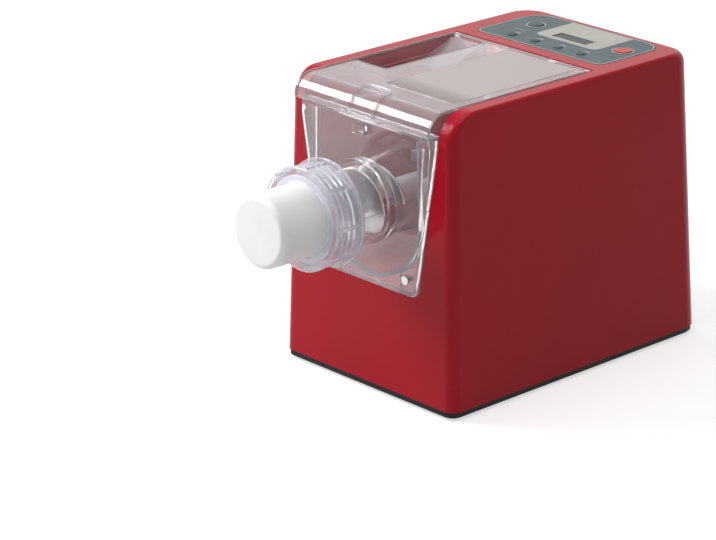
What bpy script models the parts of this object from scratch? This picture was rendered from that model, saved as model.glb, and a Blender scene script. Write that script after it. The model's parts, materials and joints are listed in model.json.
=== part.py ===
"""Electric pasta maker: red housing, clear mixing chamber and lid, extruder and geared drive.

Metres, +Z up, front towards -Y. The machine stands on Z = 0 with the middle of its
bounding box on the Z axis.
"""
from math import acos, atan2, cos, pi, radians, sin, sqrt, tan

import bmesh
import bpy
from mathutils import Matrix, Vector

# Clearances shared by all pieces
GAP = 0.0003              # between two pieces that seat on each other
OVERRUN = 0.010           # how far a cutter runs past what it cuts
LAP = 0.001               # how far a rib or boss reaches into the piece that carries it
FIT = 0.0008              # around the lid and the front plate in the opening
FLAT_ANGLE = radians(0.1) # faces that differ by less are one flat

# Body, as seen from outside
BODY_HEIGHT = 0.290
BODY_DEPTH = 0.348
BASE_WIDTH = 0.228
SIDE_LEAN = 0.009               # each side draws in by this much towards the top
REAR_LEAN = 0.022
WALL = 0.003
FRONT_CORNER_R = 0.0105
FRONT_CORNER_TOP_R = 0.004
REAR_CORNER_R = 0.022
FRONT_TOP_R = 0.030
REAR_TOP_R = 0.012
SIDE_TOP_R = 0.0035
CORNER_STEPS = 3
ARC_STEPS = 6
EDGE_STEPS = 2

# Feet, base plate and its screws
FOOT_HEIGHT = 0.003
FOOT_R = 0.010
FOOT_TAPER = 0.0015
FOOT_INSET = 0.026
BASE_RIM = 0.005
BASE_FLOOR = 0.004
BASE_INSET = 0.001
BASE_LIP_HEIGHT = 0.006
BASE_LIP_WALL = 0.0025
BASE_SLOT_WIDTH = 0.004
BASE_SLOT_LENGTH = 0.056
BASE_SLOT_PITCH = 0.009
BASE_SLOTS = 5
SCREW_POST_R = 0.0075
SCREW_POST_HEIGHT = 0.040
SCREW_POST_INSET = 0.0105
SCREW_POST_SETBACK = 0.024      # from the front and the rear of the base
SCREW_SHANK_R = 0.002
SCREW_HEAD_R = 0.004
SCREW_HEAD_HEIGHT = 0.002
SCREW_GRIP = 0.012

# Front and top opening
OPENING_SIDE = 0.0165           # from the side of the body's top
OPENING_DRAW_SHARE = 0.144781        # how far each side draws in towards its base, for its height
OPENING_KNEE_DROP = 0.034       # where its sides turn upright, below the top of the body
OPENING_BASE_DROP = 0.008       # below the trough
OPENING_CORNER_R = 0.011
OPENING_SETBACK = 0.144         # from its rear edge to the rear of the base
BAY_WALL = 0.0025

# Mixing chamber
AXIS_SHARE = 0.648276           # the axis of the drive, as a share of the body's height
TROUGH_SIDE = 0.0185            # from the side of the opening's top to the trough's inside
TROUGH_WALL = 0.0025
TROUGH_TOP_DROP = 0.028         # below the top of the body
TROUGH_FRONT_SETBACK = 0.0048   # behind the red front face
TROUGH_END_GAP = 0.0055         # between trough and rear wall of the bay
TROUGH_RIM = 0.0055
FLANGE_THICKNESS = 0.003
RUNNER_INSET = 0.029            # from the side of the opening's base
RUNNER_WIDTH = 0.003
TROUGH_STEPS = 18

# Seal in the rear wall of the trough, and the gasket at its front
SEAL_R = 0.0137
SEAL_FLANGE_R = 0.017
SEAL_FLANGE = 0.002
GASKET_THICKNESS = 0.002
GASKET_WIDTH = 0.0035

# Front plate, which leans forward towards its top
PLATE_TOP_DROP = 0.022          # below the top of the body
PLATE_WALL = 0.003
PLATE_BASE_REACH = 0.0008
PLATE_TOP_REACH = 0.0107
PLATE_BASE_TAPER = 0.0015
PLATE_TOP_TAPER = 0.0090
PLATE_PROUD = 0.0002
PLATE_SCREW_INSET = 0.014       # from the side of the opening's base
PLATE_SCREW_RISE = 0.0165       # above the opening's base
PLATE_SCREW_HEAD_R = 0.0043
PLATE_SCREW_HEAD = 0.002
CATCH_WIDTH = 0.016
CATCH_HEIGHT = 0.010
CATCH_DROP = 0.005
CATCH_REACH = 0.0035

# Extruder tube on the front plate
TUBE_BORE_R = 0.0335
TUBE_R = 0.038
TUBE_COLLAR_R = 0.0405
TUBE_COLLAR_REACH = 0.011       # ahead of the red front face
TUBE_REACH = 0.076
TUBE_RIB_WIDTH = 0.002
TUBE_RIB_HEIGHT = 0.0012
TUBE_RIB_LENGTH = 0.036
LUG_COUNT = 3
LUG_ARC = radians(40.0)
LUG_THICKNESS = 0.004
LUG_SETBACK = 0.010             # behind the end of the tube
LUG_HEIGHT = 0.0025
TUBE_SEGMENTS = 28

# Ring nut
NUT_REAR_REACH = 0.052
NUT_REACH = 0.085
NUT_REAR_RIM_R = 0.051
NUT_REAR_RIM = 0.003
NUT_BODY_R = 0.0462
NUT_RIB_R = 0.0482
NUT_RIB_WIDTH = 0.0016
NUT_RIBS = 2
NUT_FRONT_RIM_R = 0.049
NUT_FRONT_RIM = 0.0045
NUT_LIP = 0.0042
NUT_GRIPS = 8
NUT_GRIP_WIDTH = 0.0045

# Pasta die
DIE_R = 0.0345
DIE_FLANGE = 0.0045
DIE_REACH = 0.1365
DIE_EDGE_R = 0.008
DIE_WALL = 0.0055
DIE_END_WALL = 0.006
DIE_HOLE_R = 0.0011
DIE_HOLE_PITCH = 0.0066
DIE_HOLE_COLUMNS = 4
DIE_HOLE_ROWS = 5
DIE_HOLE_SETBACK = 0.012        # from the end of the die to the first row

# Mixing paddle and extrusion screw
HUB_R = 0.012
HUB_END_GAP = 0.0005
ARM_TIP_GAP = 0.004             # inside the trough
ARM_WIDTH = 0.009
ARM_THICKNESS = 0.010
SCRAPER_HEIGHT = 0.005
SCRAPER_LENGTH = 0.036
ARM_FIRST_SETBACK = 0.022
ARM_PITCH_SHARE = 0.19          # of the hub's length
ARM_TURNS = (0.25, 0.5, 0.75, 0.0)   # of a full turn, from the rear
FLIGHT_R = 0.0328
FLIGHT_THICKNESS = 0.0035
FLIGHT_PITCH = 0.029
FLIGHT_TURNS = 3
FLIGHT_STEPS = 14
SCREW_CORE_R = 0.010
SCREW_CORE_FRONT_R = 0.016
SCREW_TIP_GAP = 0.004           # behind the end of the tube
SCREW_PEG_R = 0.0065
SCREW_PEG_LENGTH = 0.012

# Lid and its hinge
LID_WALL = 0.0025
LID_REACH = 0.011               # ahead of the red front face
LID_FRONT_R = 0.019
LID_SKIRT_HEIGHT = 0.014
LID_FRONT_SKIRT_DEPTH = 0.025
LID_RIM_HEIGHT = 0.001
BARREL_R = 0.0027
LID_REAR_BAR = 0.004
PIN_R = 0.0013
PIN_LENGTH = 0.012
PIN_SEAT = 0.004
SLOT_WIDTH = 0.040
SLOT_FRONT_SETBACK = 0.064      # behind the red front face
SLOT_REAR_SETBACK = 0.010       # ahead of the opening's rear edge
CHUTE_WALL = 0.002
CHUTE_DEPTH = 0.0215
RAMP_SHARE = 0.4                # of the slot's length
TAB_HALF = 0.021
TAB_REAR_SETBACK = 0.036        # from the front of the lid
TAB_RIDGE = 0.0025
TAB_HEIGHT = 0.0015
TAB_CORNER_R = 0.008
LIP_HALF = 0.026
LIP_REACH = 0.0035
LIP_HEIGHT = 0.003
INSERT_LEFT_X = -0.012
INSERT_SIDE = 0.0225            # from the side of the opening
INSERT_FRONT_SETBACK = 0.032    # behind the red front face
INSERT_THICKNESS = 0.0009
INSERT_CORNER_R = 0.005

# Lid switch behind the bay
SWITCH_INSET = 0.0265           # from the side of the opening
SWITCH_WIDTH = 0.014
SWITCH_DEPTH = 0.009
SWITCH_HEIGHT = 0.016
SWITCH_TOP_DROP = 0.008
SWITCH_KEY = 0.003

# Control panel
PANEL_SIDE = 0.0225             # from the side of the body's top
PANEL_FRONT_SETBACK = 0.015     # behind the opening
PANEL_REAR_SETBACK = 0.0365     # ahead of the rear of the base
PANEL_FRONT_R = 0.010
PANEL_REAR_R = 0.022
PANEL_THICKNESS = 0.0008
PANEL_RECESS = 0.001
DISPLAY_X = 0.0045
DISPLAY_SETBACK = 0.048         # this and the next ones are from the panel's front edge
DISPLAY_WIDTH = 0.043
DISPLAY_DEPTH = 0.014
DISPLAY_GLASS = 0.0022
MODULE_MARGIN = 0.004
BOARD_DROP = 0.0125             # below the top of the body
BOARD_THICKNESS = 0.0016
BOARD_MARGIN = 0.004
BOARD_POST_R = 0.003
BUTTON_TRAVEL = 0.001
BUTTON_RIM = 0.0012
BUTTON_RIM_THICKNESS = 0.0015
BUTTON_STEM_R = 0.002
BUTTON_PROUD = 0.0009
START_R = 0.0085
START_INSET = 0.0185            # from the panel's side
START_SETBACK = 0.053
MENU_R = 0.0075
MENU_INSET = 0.0285             # from the panel's side
MENU_SETBACK = 0.058
KEY_R = 0.0045
KEY_FIRST_X = -0.046
KEY_PITCH = 0.030
KEY_SETBACK = 0.016
KEY_NAMES = ("minus", "mode", "weight", "plus")

# Gears: the pinion on the motor drives the idler, whose own pinion drives the output gear
PINION_TEETH = 12
IDLER_TEETH = 48
OUTPUT_TEETH = 45
FIRST_MODULE = 0.00135
SECOND_MODULE = 0.0020
PRESSURE_ANGLE = radians(20.0)
ADDENDUM_SHARE = 0.9
DEDENDUM_SHARE = 1.25
BACKLASH = 0.00035
OUTPUT_FACE = 0.010
IDLER_FACE = 0.007
MOTOR_PINION_FACE = 0.009
GEAR_SPACING = 0.002
GEAR_RIM = 0.006
GEAR_WEB_RECESS = 0.003
GEAR_HUB_R = 0.015

# Gearbox, bearing, shafts
CASE_WALL = 0.0025
CASE_FLOOR = 0.0032
CASE_MARGIN = 0.002
COVER_THICKNESS = 0.003
BOSS_R = 0.017
BOSS_REACH = 0.0053
BEARING_R = 0.013
BEARING_LENGTH = 0.007
BOSS_LIP = 0.0008
SHAFT_R = 0.008
DOG_LENGTH = 0.022
IDLER_PIN_R = 0.004
MOTOR_SHAFT_R = 0.003
SHAFT_SEGMENTS = 12
SCREW_SEGMENTS = 8
RING_SEGMENTS = 20

# Motor, fan and cradle
MOTOR_R = 0.042
MOTOR_BELL_R = 0.036
DRIVE_ROOM = 0.074              # what gearbox, fan and rear wall leave of the opening's setback
MOTOR_BELL = 0.016
FAN_R = 0.034
FAN_HUB_R = 0.009
FAN_LENGTH = 0.010
FAN_BLADES = 6
FAN_BLADE = 0.002
FAN_PITCH = radians(35.0)
FAN_GAP = 0.0025
CRADLE_HALF = 0.032
CRADLE_SETBACK = 0.020
CRADLE_LENGTH = 0.026
CRADLE_TOP_SHARE = 0.62
CRADLE_WINDOW = 0.012           # from each side
CRADLE_WEB_SHARE = 0.15         # above and below the window, of the room under the motor

# Power board under the trough
POWER_SIDE = 0.062              # from the side of the base
POWER_FRONT_SETBACK = 0.049     # behind the red front face
POWER_REAR_SETBACK = 0.060      # ahead of the opening's rear edge
POWER_STANDOFF = 0.012
POWER_STANDOFF_R = 0.004
TRANSFORMER_SIZE = (0.034, 0.030, 0.026)
CAPACITOR_R = 0.008
CAPACITOR_HEIGHT = 0.022

# Rear of the housing
VENTS = 6
VENT_WIDTH = 0.066
VENT_HEIGHT = 0.0035
VENT_PITCH = 0.009
VENT_Z = 0.075
GLAND_INSET = 0.044             # from the side of the base
GLAND_Z = 0.058
GLAND_R = 0.006
GLAND_FLANGE_R = 0.0085
GLAND_FLANGE = 0.0022
GLAND_BORE_R = 0.0037

# Places that follow from the sizes above
TOP_WIDTH = BASE_WIDTH - 2.0 * SIDE_LEAN
FRONT_Y = -BODY_DEPTH / 2.0
HEM_Z = FOOT_HEIGHT + BASE_RIM + GAP
FLOOR_Z = FOOT_HEIGHT + BASE_FLOOR
SCREW_POST_Y = BODY_DEPTH / 2.0 - SCREW_POST_SETBACK
AXIS_Z = BODY_HEIGHT * AXIS_SHARE
OPENING_TOP_HALF = TOP_WIDTH / 2.0 - OPENING_SIDE
OPENING_KNEE_Z = BODY_HEIGHT - OPENING_KNEE_DROP
OPENING_REAR_Y = BODY_DEPTH / 2.0 - OPENING_SETBACK
TROUGH_R = OPENING_TOP_HALF - TROUGH_SIDE
TROUGH_TOP_Z = BODY_HEIGHT - TROUGH_TOP_DROP
TROUGH_FRONT_Y = FRONT_Y + TROUGH_FRONT_SETBACK
TROUGH_REAR_Y = OPENING_REAR_Y - TROUGH_END_GAP
OPENING_BASE_Z = AXIS_Z - TROUGH_R - TROUGH_WALL - OPENING_BASE_DROP
OPENING_BASE_HALF = OPENING_TOP_HALF - OPENING_DRAW_SHARE * (OPENING_KNEE_Z - OPENING_BASE_Z)
RUNNER_X = OPENING_BASE_HALF - RUNNER_INSET
PLATE_TOP_Z = BODY_HEIGHT - PLATE_TOP_DROP
PLATE_SCREW_X = OPENING_BASE_HALF - PLATE_SCREW_INSET
PLATE_SCREW_Z = OPENING_BASE_Z + PLATE_SCREW_RISE
ARM_TIP_R = TROUGH_R - ARM_TIP_GAP
TUBE_END_Y = FRONT_Y - TUBE_REACH
DIE_TIP_Y = FRONT_Y - DIE_REACH
LID_FRONT_Y = FRONT_Y - LID_REACH
LID_SKIRT_Z = BODY_HEIGHT - LID_SKIRT_HEIGHT
LID_HALF = OPENING_TOP_HALF - FIT
HINGE_Y = OPENING_REAR_Y - FIT - BARREL_R
HINGE_Z = BODY_HEIGHT - BARREL_R
SLOT_FRONT_Y = FRONT_Y + SLOT_FRONT_SETBACK
SLOT_REAR_Y = OPENING_REAR_Y - SLOT_REAR_SETBACK
RAMP_FRONT_Y = SLOT_REAR_Y - RAMP_SHARE * (SLOT_REAR_Y - SLOT_FRONT_Y)
INSERT_RIGHT_X = OPENING_TOP_HALF - INSERT_SIDE
INSERT_FRONT_Y = FRONT_Y + INSERT_FRONT_SETBACK
SWITCH_X = OPENING_TOP_HALF - SWITCH_INSET
PANEL_HALF = TOP_WIDTH / 2.0 - PANEL_SIDE
PANEL_FRONT_Y = OPENING_REAR_Y + PANEL_FRONT_SETBACK
PANEL_REAR_Y = BODY_DEPTH / 2.0 - PANEL_REAR_SETBACK
DISPLAY_Y = PANEL_FRONT_Y + DISPLAY_SETBACK
START_X = PANEL_HALF - START_INSET
MENU_X = MENU_INSET - PANEL_HALF
POWER_HALF = BASE_WIDTH / 2.0 - POWER_SIDE
POWER_FRONT_Y = FRONT_Y + POWER_FRONT_SETBACK
POWER_REAR_Y = OPENING_REAR_Y - POWER_REAR_SETBACK
GLAND_X = BASE_WIDTH / 2.0 - GLAND_INSET
IDLER_Z = AXIS_Z - (PINION_TEETH + OUTPUT_TEETH) * SECOND_MODULE / 2.0
MOTOR_Z = IDLER_Z - (PINION_TEETH + IDLER_TEETH) * FIRST_MODULE / 2.0
CASE_FRONT_Y = OPENING_REAR_Y + BAY_WALL + GAP
OUTPUT_Y = CASE_FRONT_Y + CASE_FLOOR + GEAR_SPACING
IDLER_GEAR_Y = OUTPUT_Y + OUTPUT_FACE + GEAR_SPACING + GAP
CASE_REAR_Y = IDLER_GEAR_Y + IDLER_FACE + GEAR_SPACING
COVER_Y = CASE_REAR_Y + GAP
COVER_REAR_Y = COVER_Y + COVER_THICKNESS
MOTOR_Y = COVER_REAR_Y + GAP
MOTOR_REAR_Y = MOTOR_Y + OPENING_SETBACK - DRIVE_ROOM
PANEL_Z = BODY_HEIGHT - PANEL_RECESS + GAP
BOARD_Z = BODY_HEIGHT - BOARD_DROP - BOARD_THICKNESS

# Colour, roughness, metallic and alpha of each finish
FINISHES = {
    "red_housing": ((0.37, 0.004, 0.012), 0.22, 0.35, 1.0),
    "red_inner": ((0.30, 0.010, 0.018), 0.35, 0.0, 1.0),
    "black_plastic": ((0.012, 0.012, 0.013), 0.55, 0.0, 1.0),
    "rubber": ((0.02, 0.02, 0.02), 0.85, 0.0, 1.0),
    "clear": ((0.92, 0.93, 0.94), 0.06, 0.0, 0.30),
    "frosted": ((0.52, 0.45, 0.45), 0.45, 0.0, 0.85),
    "white_die": ((0.86, 0.86, 0.86), 0.40, 0.0, 1.0),
    "paddle_grey": ((0.62, 0.63, 0.64), 0.45, 0.0, 1.0),
    "seal_grey": ((0.20, 0.20, 0.22), 0.60, 0.0, 1.0),
    "slate": ((0.115, 0.165, 0.185), 0.40, 0.0, 1.0),
    "display": ((0.06, 0.08, 0.06), 0.12, 0.0, 1.0),
    "start_red": ((0.60, 0.07, 0.06), 0.40, 0.0, 1.0),
    "key_grey": ((0.16, 0.20, 0.21), 0.45, 0.0, 1.0),
    "steel": ((0.56, 0.57, 0.58), 0.30, 1.0, 1.0),
    "nylon": ((0.78, 0.76, 0.70), 0.45, 0.0, 1.0),
    "motor_grey": ((0.25, 0.26, 0.27), 0.45, 0.6, 1.0),
    "board_green": ((0.02, 0.12, 0.05), 0.50, 0.0, 1.0),
}


def start_scene():
    """Empty the scene and return the collections for parts and cutters, and the root empty."""
    for old in list(bpy.data.objects):
        bpy.data.objects.remove(old, do_unlink=True)
    parts = bpy.data.collections.new("pasta_maker")
    cutters = bpy.data.collections.new("cutters")
    for collection in (parts, cutters):
        bpy.context.scene.collection.children.link(collection)
    root = bpy.data.objects.new("pasta_maker_origin", None)
    rear_y = BODY_DEPTH / 2.0 - REAR_LEAN * HEM_Z / BODY_HEIGHT
    root.location = (0.0, -(DIE_TIP_Y + rear_y) / 2.0, 0.0)
    parts.objects.link(root)
    return parts, cutters, root


PARTS, CUTTERS, ROOT = start_scene()


def finish_material(name):
    """Return the Principled material of a finish, made once."""
    material = bpy.data.materials.get(name)
    if material is None:
        colour, roughness, metallic, alpha = FINISHES[name]
        material = bpy.data.materials.new(name)
        material.use_nodes = True
        shader = material.node_tree.nodes["Principled BSDF"]
        shader.inputs["Base Color"].default_value = (*colour, 1.0)
        shader.inputs["Roughness"].default_value = roughness
        shader.inputs["Metallic"].default_value = metallic
        shader.inputs["Alpha"].default_value = alpha
        material.diffuse_color = (*colour, alpha)
    return material


def add_part(name, mesh, finish, origin=(0.0, 0.0, 0.0)):
    """Link a mesh as one sub-part of the machine; a moving one has its origin on its axis."""
    mesh.transform(Matrix.Translation(-Vector(origin)))
    part = bpy.data.objects.new(name, mesh)
    part.location = origin
    part.data.materials.clear()
    part.data.materials.append(finish_material(finish))
    part.parent = ROOT
    PARTS.objects.link(part)
    return part


def add_cutter(name, mesh):
    """Link a mesh that only shapes other pieces."""
    cutter = bpy.data.objects.new(name, mesh)
    cutter.parent = ROOT
    cutter.hide_render = True
    cutter.display_type = 'WIRE'
    CUTTERS.objects.link(cutter)
    return cutter


def boolean(target, tools, operation):
    """Give the target one Boolean modifier for each tool."""
    for tool in tools:
        modifier = target.modifiers.new(tool.name, 'BOOLEAN')
        modifier.operation = operation
        modifier.object = tool
        modifier.solver = 'EXACT'


def cut(target, *tools):
    boolean(target, tools, 'DIFFERENCE')


def fuse(target, *tools):
    boolean(target, tools, 'UNION')


def trim(target, *tools):
    boolean(target, tools, 'INTERSECT')


def shade(mesh, angle=radians(35.0)):
    """Shade a mesh smooth, with its sharper edges kept."""
    mesh.shade_smooth()
    mesh.set_sharp_from_angle(angle=angle)
    return mesh


def mesh_from(bm, name):
    """Turn a bmesh into a mesh with its faces pointing out."""
    bmesh.ops.recalc_face_normals(bm, faces=bm.faces)
    mesh = bpy.data.meshes.new(name)
    bm.to_mesh(mesh)
    bm.free()
    return shade(mesh)


def box(name, low, high):
    """A box mesh between two corners."""
    low = Vector(low)
    size = Vector(high) - low
    bm = bmesh.new()
    place = Matrix.Translation(low + size / 2.0) @ Matrix.Diagonal((*size, 1.0))
    bmesh.ops.create_cube(bm, size=1.0, matrix=place)
    return mesh_from(bm, name)


def rod(name, radius, start, end, segments=SHAFT_SEGMENTS, end_radius=None):
    """A round bar or a cone between two points; six segments make a hexagon."""
    start = Vector(start)
    along = Vector(end) - start
    bm = bmesh.new()
    turn = Vector((0.0, 0.0, 1.0)).rotation_difference(along).to_matrix().to_4x4()
    place = Matrix.Translation(start + along / 2.0) @ turn
    bmesh.ops.create_cone(bm, cap_ends=True, segments=segments, radius1=radius,
                          radius2=radius if end_radius is None else end_radius,
                          depth=along.length, matrix=place)
    return mesh_from(bm, name)


def evaluated_mesh(made, name, join_flats=False):
    """Read an object's evaluated mesh, close its open ends, and remove the object."""
    bpy.context.view_layer.update()
    graph = bpy.context.evaluated_depsgraph_get()
    mesh = bpy.data.meshes.new_from_object(made.evaluated_get(graph))
    bm = bmesh.new()
    bm.from_mesh(mesh)
    bmesh.ops.remove_doubles(bm, verts=bm.verts, dist=GAP / 100.0)
    open_edges = [edge for edge in bm.edges if edge.is_boundary]
    bmesh.ops.holes_fill(bm, edges=open_edges, sides=0)
    if join_flats:
        bmesh.ops.dissolve_limit(bm, angle_limit=FLAT_ANGLE, verts=bm.verts, edges=bm.edges)
    bpy.data.objects.remove(made, do_unlink=True)
    return mesh_from(bm, name)


def extruded(name, loops, low, high, across="Y"):
    """Extrude flat outlines, the first one filled and the others as holes.

    Across Y an outline's points are (x, z), across X they are (y, z), across Z (x, y).
    """
    curve = bpy.data.curves.new(name, 'CURVE')
    curve.dimensions = '2D'
    curve.fill_mode = 'BOTH'
    curve.extrude = abs(high - low) / 2.0
    for loop in loops:
        spline = curve.splines.new('POLY')
        spline.points.add(len(loop) - 1)
        for point, (u, v) in zip(spline.points, loop):
            point.co = (u, v, 0.0, 1.0)
        spline.use_cyclic_u = True
    made = bpy.data.objects.new(name, curve)
    bpy.context.scene.collection.objects.link(made)
    mesh = evaluated_mesh(made, name, join_flats=len(loops) == 1)
    turns = {
        "Z": Matrix.Identity(4),
        "Y": Matrix.Rotation(pi / 2.0, 4, 'X'),
        "X": Matrix(((0, 0, 1, 0), (1, 0, 0, 0), (0, 1, 0, 0), (0, 0, 0, 1))),
    }
    shift = Vector((0.0, 0.0, 0.0))
    shift["XYZ".index(across)] = (low + high) / 2.0
    mesh.transform(Matrix.Translation(shift) @ turns[across])
    return mesh


def turned(name, profile, segments, closed=True, axis_z=AXIS_Z):
    """Turn a profile of (radius, distance towards the front) about the extruder's axis.

    An open profile starts and ends on the axis; a closed one makes a ring. Its outer side
    runs from the front to the rear.
    """
    mesh = lathe_mesh(name, profile, segments, closed)
    mesh.transform(Matrix.Translation((0.0, 0.0, axis_z)) @ Matrix.Rotation(pi / 2.0, 4, 'X'))
    return mesh


def lathe_mesh(name, profile, segments, closed):
    """Turn a profile of (radius, height) about the Z axis with a Screw modifier."""
    line = bpy.data.meshes.new(name)
    count = len(profile)
    edges = [(i, i + 1) for i in range(count - 1)]
    if closed:
        edges.append((count - 1, 0))
    line.from_pydata([(radius, 0.0, height) for radius, height in profile], edges, [])
    made = bpy.data.objects.new(name, line)
    bpy.context.scene.collection.objects.link(made)
    screw = made.modifiers.new("turn", 'SCREW')
    screw.steps = segments
    screw.render_steps = segments
    screw.use_merge_vertices = True
    screw.merge_threshold = GAP / 30.0
    return evaluated_mesh(made, name, join_flats=not closed)


def loft(name, rings):
    """Skin closed rings of equal length and cap both ends."""
    bm = bmesh.new()
    rows = [[bm.verts.new(point) for point in ring] for ring in rings]
    count = len(rows[0])
    for lower, upper in zip(rows, rows[1:]):
        for i in range(count):
            j = (i + 1) % count
            bm.faces.new((lower[i], lower[j], upper[j], upper[i]))
    bm.faces.new(rows[0])
    bm.faces.new(rows[-1])
    return mesh_from(bm, name)


def arc(centre, radius, start, end, steps):
    """Points along an arc, both ends included."""
    u, v = centre
    angles = [start + (end - start) * i / steps for i in range(steps + 1)]
    return [(u + radius * cos(angle), v + radius * sin(angle)) for angle in angles]


def circle(centre, radius, segments):
    return arc(centre, radius, 0.0, 2.0 * pi * (segments - 1) / segments, segments - 1)


def rounded(corners, radii, steps=CORNER_STEPS):
    """An outline through the corners, each rounded by its radius."""
    points = []
    count = len(corners)
    for i, (corner, radius) in enumerate(zip(corners, radii)):
        here = Vector(corner)
        back = (Vector(corners[i - 1]) - here).normalized()
        ahead = (Vector(corners[(i + 1) % count]) - here).normalized()
        half = acos(max(-1.0, min(1.0, back.dot(ahead)))) / 2.0
        if radius <= 0.0:
            points.append(tuple(here))
            continue
        centre = here + (back + ahead).normalized() * radius / sin(half)
        first = here + back * radius / tan(half) - centre
        last = here + ahead * radius / tan(half) - centre
        start = atan2(first.y, first.x)
        sweep = (atan2(last.y, last.x) - start + pi) % (2.0 * pi) - pi
        points += arc(centre, radius, start, start + sweep, steps)
    return points


def rectangle(low, high, radii):
    """A rounded rectangle; radii are for the low-low, high-low, high-high and low-high corners."""
    corners = (low, (high[0], low[1]), high, (low[0], high[1]))
    return rounded(corners, radii)


def setback(z, top, radius):
    """How far an edge round of this radius draws a wall in at height z."""
    rise = z - (top - radius)
    if rise <= 0.0:
        return 0.0
    return radius - sqrt(max(0.0, radius * radius - rise * rise))


def body_half_width(z):
    return (BASE_WIDTH - (BASE_WIDTH - TOP_WIDTH) * z / BODY_HEIGHT) / 2.0


def body_rear_y(z):
    return BODY_DEPTH / 2.0 - REAR_LEAN * z / BODY_HEIGHT


def body_section(z, inset):
    """The body's plan outline at height z, drawn in by the inset."""
    top = BODY_HEIGHT - inset
    side_r = max(SIDE_TOP_R - inset, GAP)
    half = body_half_width(z) - inset - setback(z, top, side_r)
    front = FRONT_Y + inset + setback(z, top, FRONT_TOP_R - inset)
    rear = body_rear_y(z) - inset - setback(z, top, REAR_TOP_R - inset)
    share = max(0.0, min(1.0, (z - BODY_HEIGHT + FRONT_TOP_R) / FRONT_TOP_R))
    front_r = FRONT_CORNER_R + (FRONT_CORNER_TOP_R - FRONT_CORNER_R) * share - inset
    front_r = max(front_r, GAP)
    rear_r = REAR_CORNER_R - inset
    return rectangle((-half, front), (half, rear), (front_r, front_r, rear_r, rear_r))


def body_solid(name, inset, low_z):
    """The body's outer form, drawn in by the inset, from low_z to its top."""
    top = BODY_HEIGHT - inset
    front_r = FRONT_TOP_R - inset
    side_r = max(SIDE_TOP_R - inset, GAP)
    heights = [low_z]
    for i in range(ARC_STEPS):
        z = top - front_r + front_r * sin(pi / 2.0 * i / ARC_STEPS)
        if z < top - 2.0 * side_r:
            heights.append(z)
    heights += [top - side_r + side_r * sin(pi / 2.0 * i / EDGE_STEPS) for i in range(EDGE_STEPS + 1)]
    return loft(name, [[(x, y, z) for x, y in body_section(z, inset)] for z in heights])


def opening_outline(grow, top_z):
    """The front opening's outline, grown by so much, up to top_z."""
    base = OPENING_BASE_HALF + grow
    half = OPENING_TOP_HALF + grow
    low = OPENING_BASE_Z - grow
    corners = ((-base, low), (base, low), (half, OPENING_KNEE_Z), (half, top_z),
               (-half, top_z), (-half, OPENING_KNEE_Z))
    radius = OPENING_CORNER_R + grow
    return rounded(corners, (radius, radius, 0.0, 0.0, 0.0, 0.0))


def u_outline(radius, top_z, steps=TROUGH_STEPS):
    """A U about the extruder's axis, from its left top to its right top."""
    return [(-radius, top_z)] + arc((0.0, AXIS_Z), radius, pi, 2.0 * pi, steps) + [(radius, top_z)]


def screw_post_places():
    """The four corners where the base plate is screwed to the housing."""
    for side in (-1.0, 1.0):
        for end in (-1.0, 1.0):
            yield side * (BASE_WIDTH / 2.0 - SCREW_POST_INSET), end * SCREW_POST_Y


def button_places():
    """Name, radius and place of each button on the panel."""
    yield "start_button", START_R, START_X, PANEL_FRONT_Y + START_SETBACK
    yield "menu_button", MENU_R, MENU_X, PANEL_FRONT_Y + MENU_SETBACK
    for i, word in enumerate(KEY_NAMES):
        yield "key_" + word, KEY_R, KEY_FIRST_X + i * KEY_PITCH, PANEL_FRONT_Y + KEY_SETBACK


def build_housing():
    """Red shell with its opening, panel recess, vents and screw posts."""
    housing = add_part("housing_shell", body_solid("housing_shell", 0.0, HEM_Z), "red_housing")
    cut(housing, add_cutter("housing_hollow", body_solid("housing_hollow", WALL, HEM_Z - OVERRUN)))
    post_low = HEM_Z + BASE_LIP_HEIGHT + FIT
    for number, (x, y) in enumerate(screw_post_places()):
        post = rod("screw_post", SCREW_POST_R, (x, y, post_low), (x, y, post_low + SCREW_POST_HEIGHT),
                   segments=SCREW_SEGMENTS)
        fuse(housing, add_cutter(f"screw_post_{number}", post))
    cut(housing, *opening_cutters(), *panel_cutters(), *rear_cutters(), *hinge_cutters())
    for number, (x, y) in enumerate(screw_post_places()):
        hole = rod("post_hole", SCREW_SHANK_R + GAP, (x, y, 0.0), (x, y, post_low + SCREW_GRIP + LAP),
                   segments=SCREW_SEGMENTS)
        cut(housing, add_cutter(f"post_hole_{number}", hole))


def opening_cutters():
    """The front opening, and the top opening that runs into it over the rounded edge."""
    front = extruded("front_opening", [opening_outline(0.0, BODY_HEIGHT + OVERRUN)],
                     FRONT_Y - OVERRUN, FRONT_Y + WALL + LAP)
    top = extruded("top_opening",
                   [rectangle((-OPENING_TOP_HALF, FRONT_Y - OVERRUN), (OPENING_TOP_HALF, OPENING_REAR_Y),
                              (0.0, 0.0, 0.0, 0.0))],
                   OPENING_KNEE_Z, BODY_HEIGHT + OVERRUN, "Z")
    return add_cutter("front_opening", front), add_cutter("top_opening", top)


def panel_cutters():
    """The recess of the panel, the display's window and a hole for each button."""
    recess = extruded("panel_recess", [panel_outline(GAP)], BODY_HEIGHT - PANEL_RECESS,
                      BODY_HEIGHT + OVERRUN, "Z")
    made = [add_cutter("panel_recess", recess), display_cutter()]
    return made + button_cutters()


def panel_outline(grow):
    return rectangle((-PANEL_HALF - grow, PANEL_FRONT_Y - grow), (PANEL_HALF + grow, PANEL_REAR_Y + grow),
                     (PANEL_FRONT_R, PANEL_FRONT_R, PANEL_REAR_R, PANEL_REAR_R))


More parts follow.
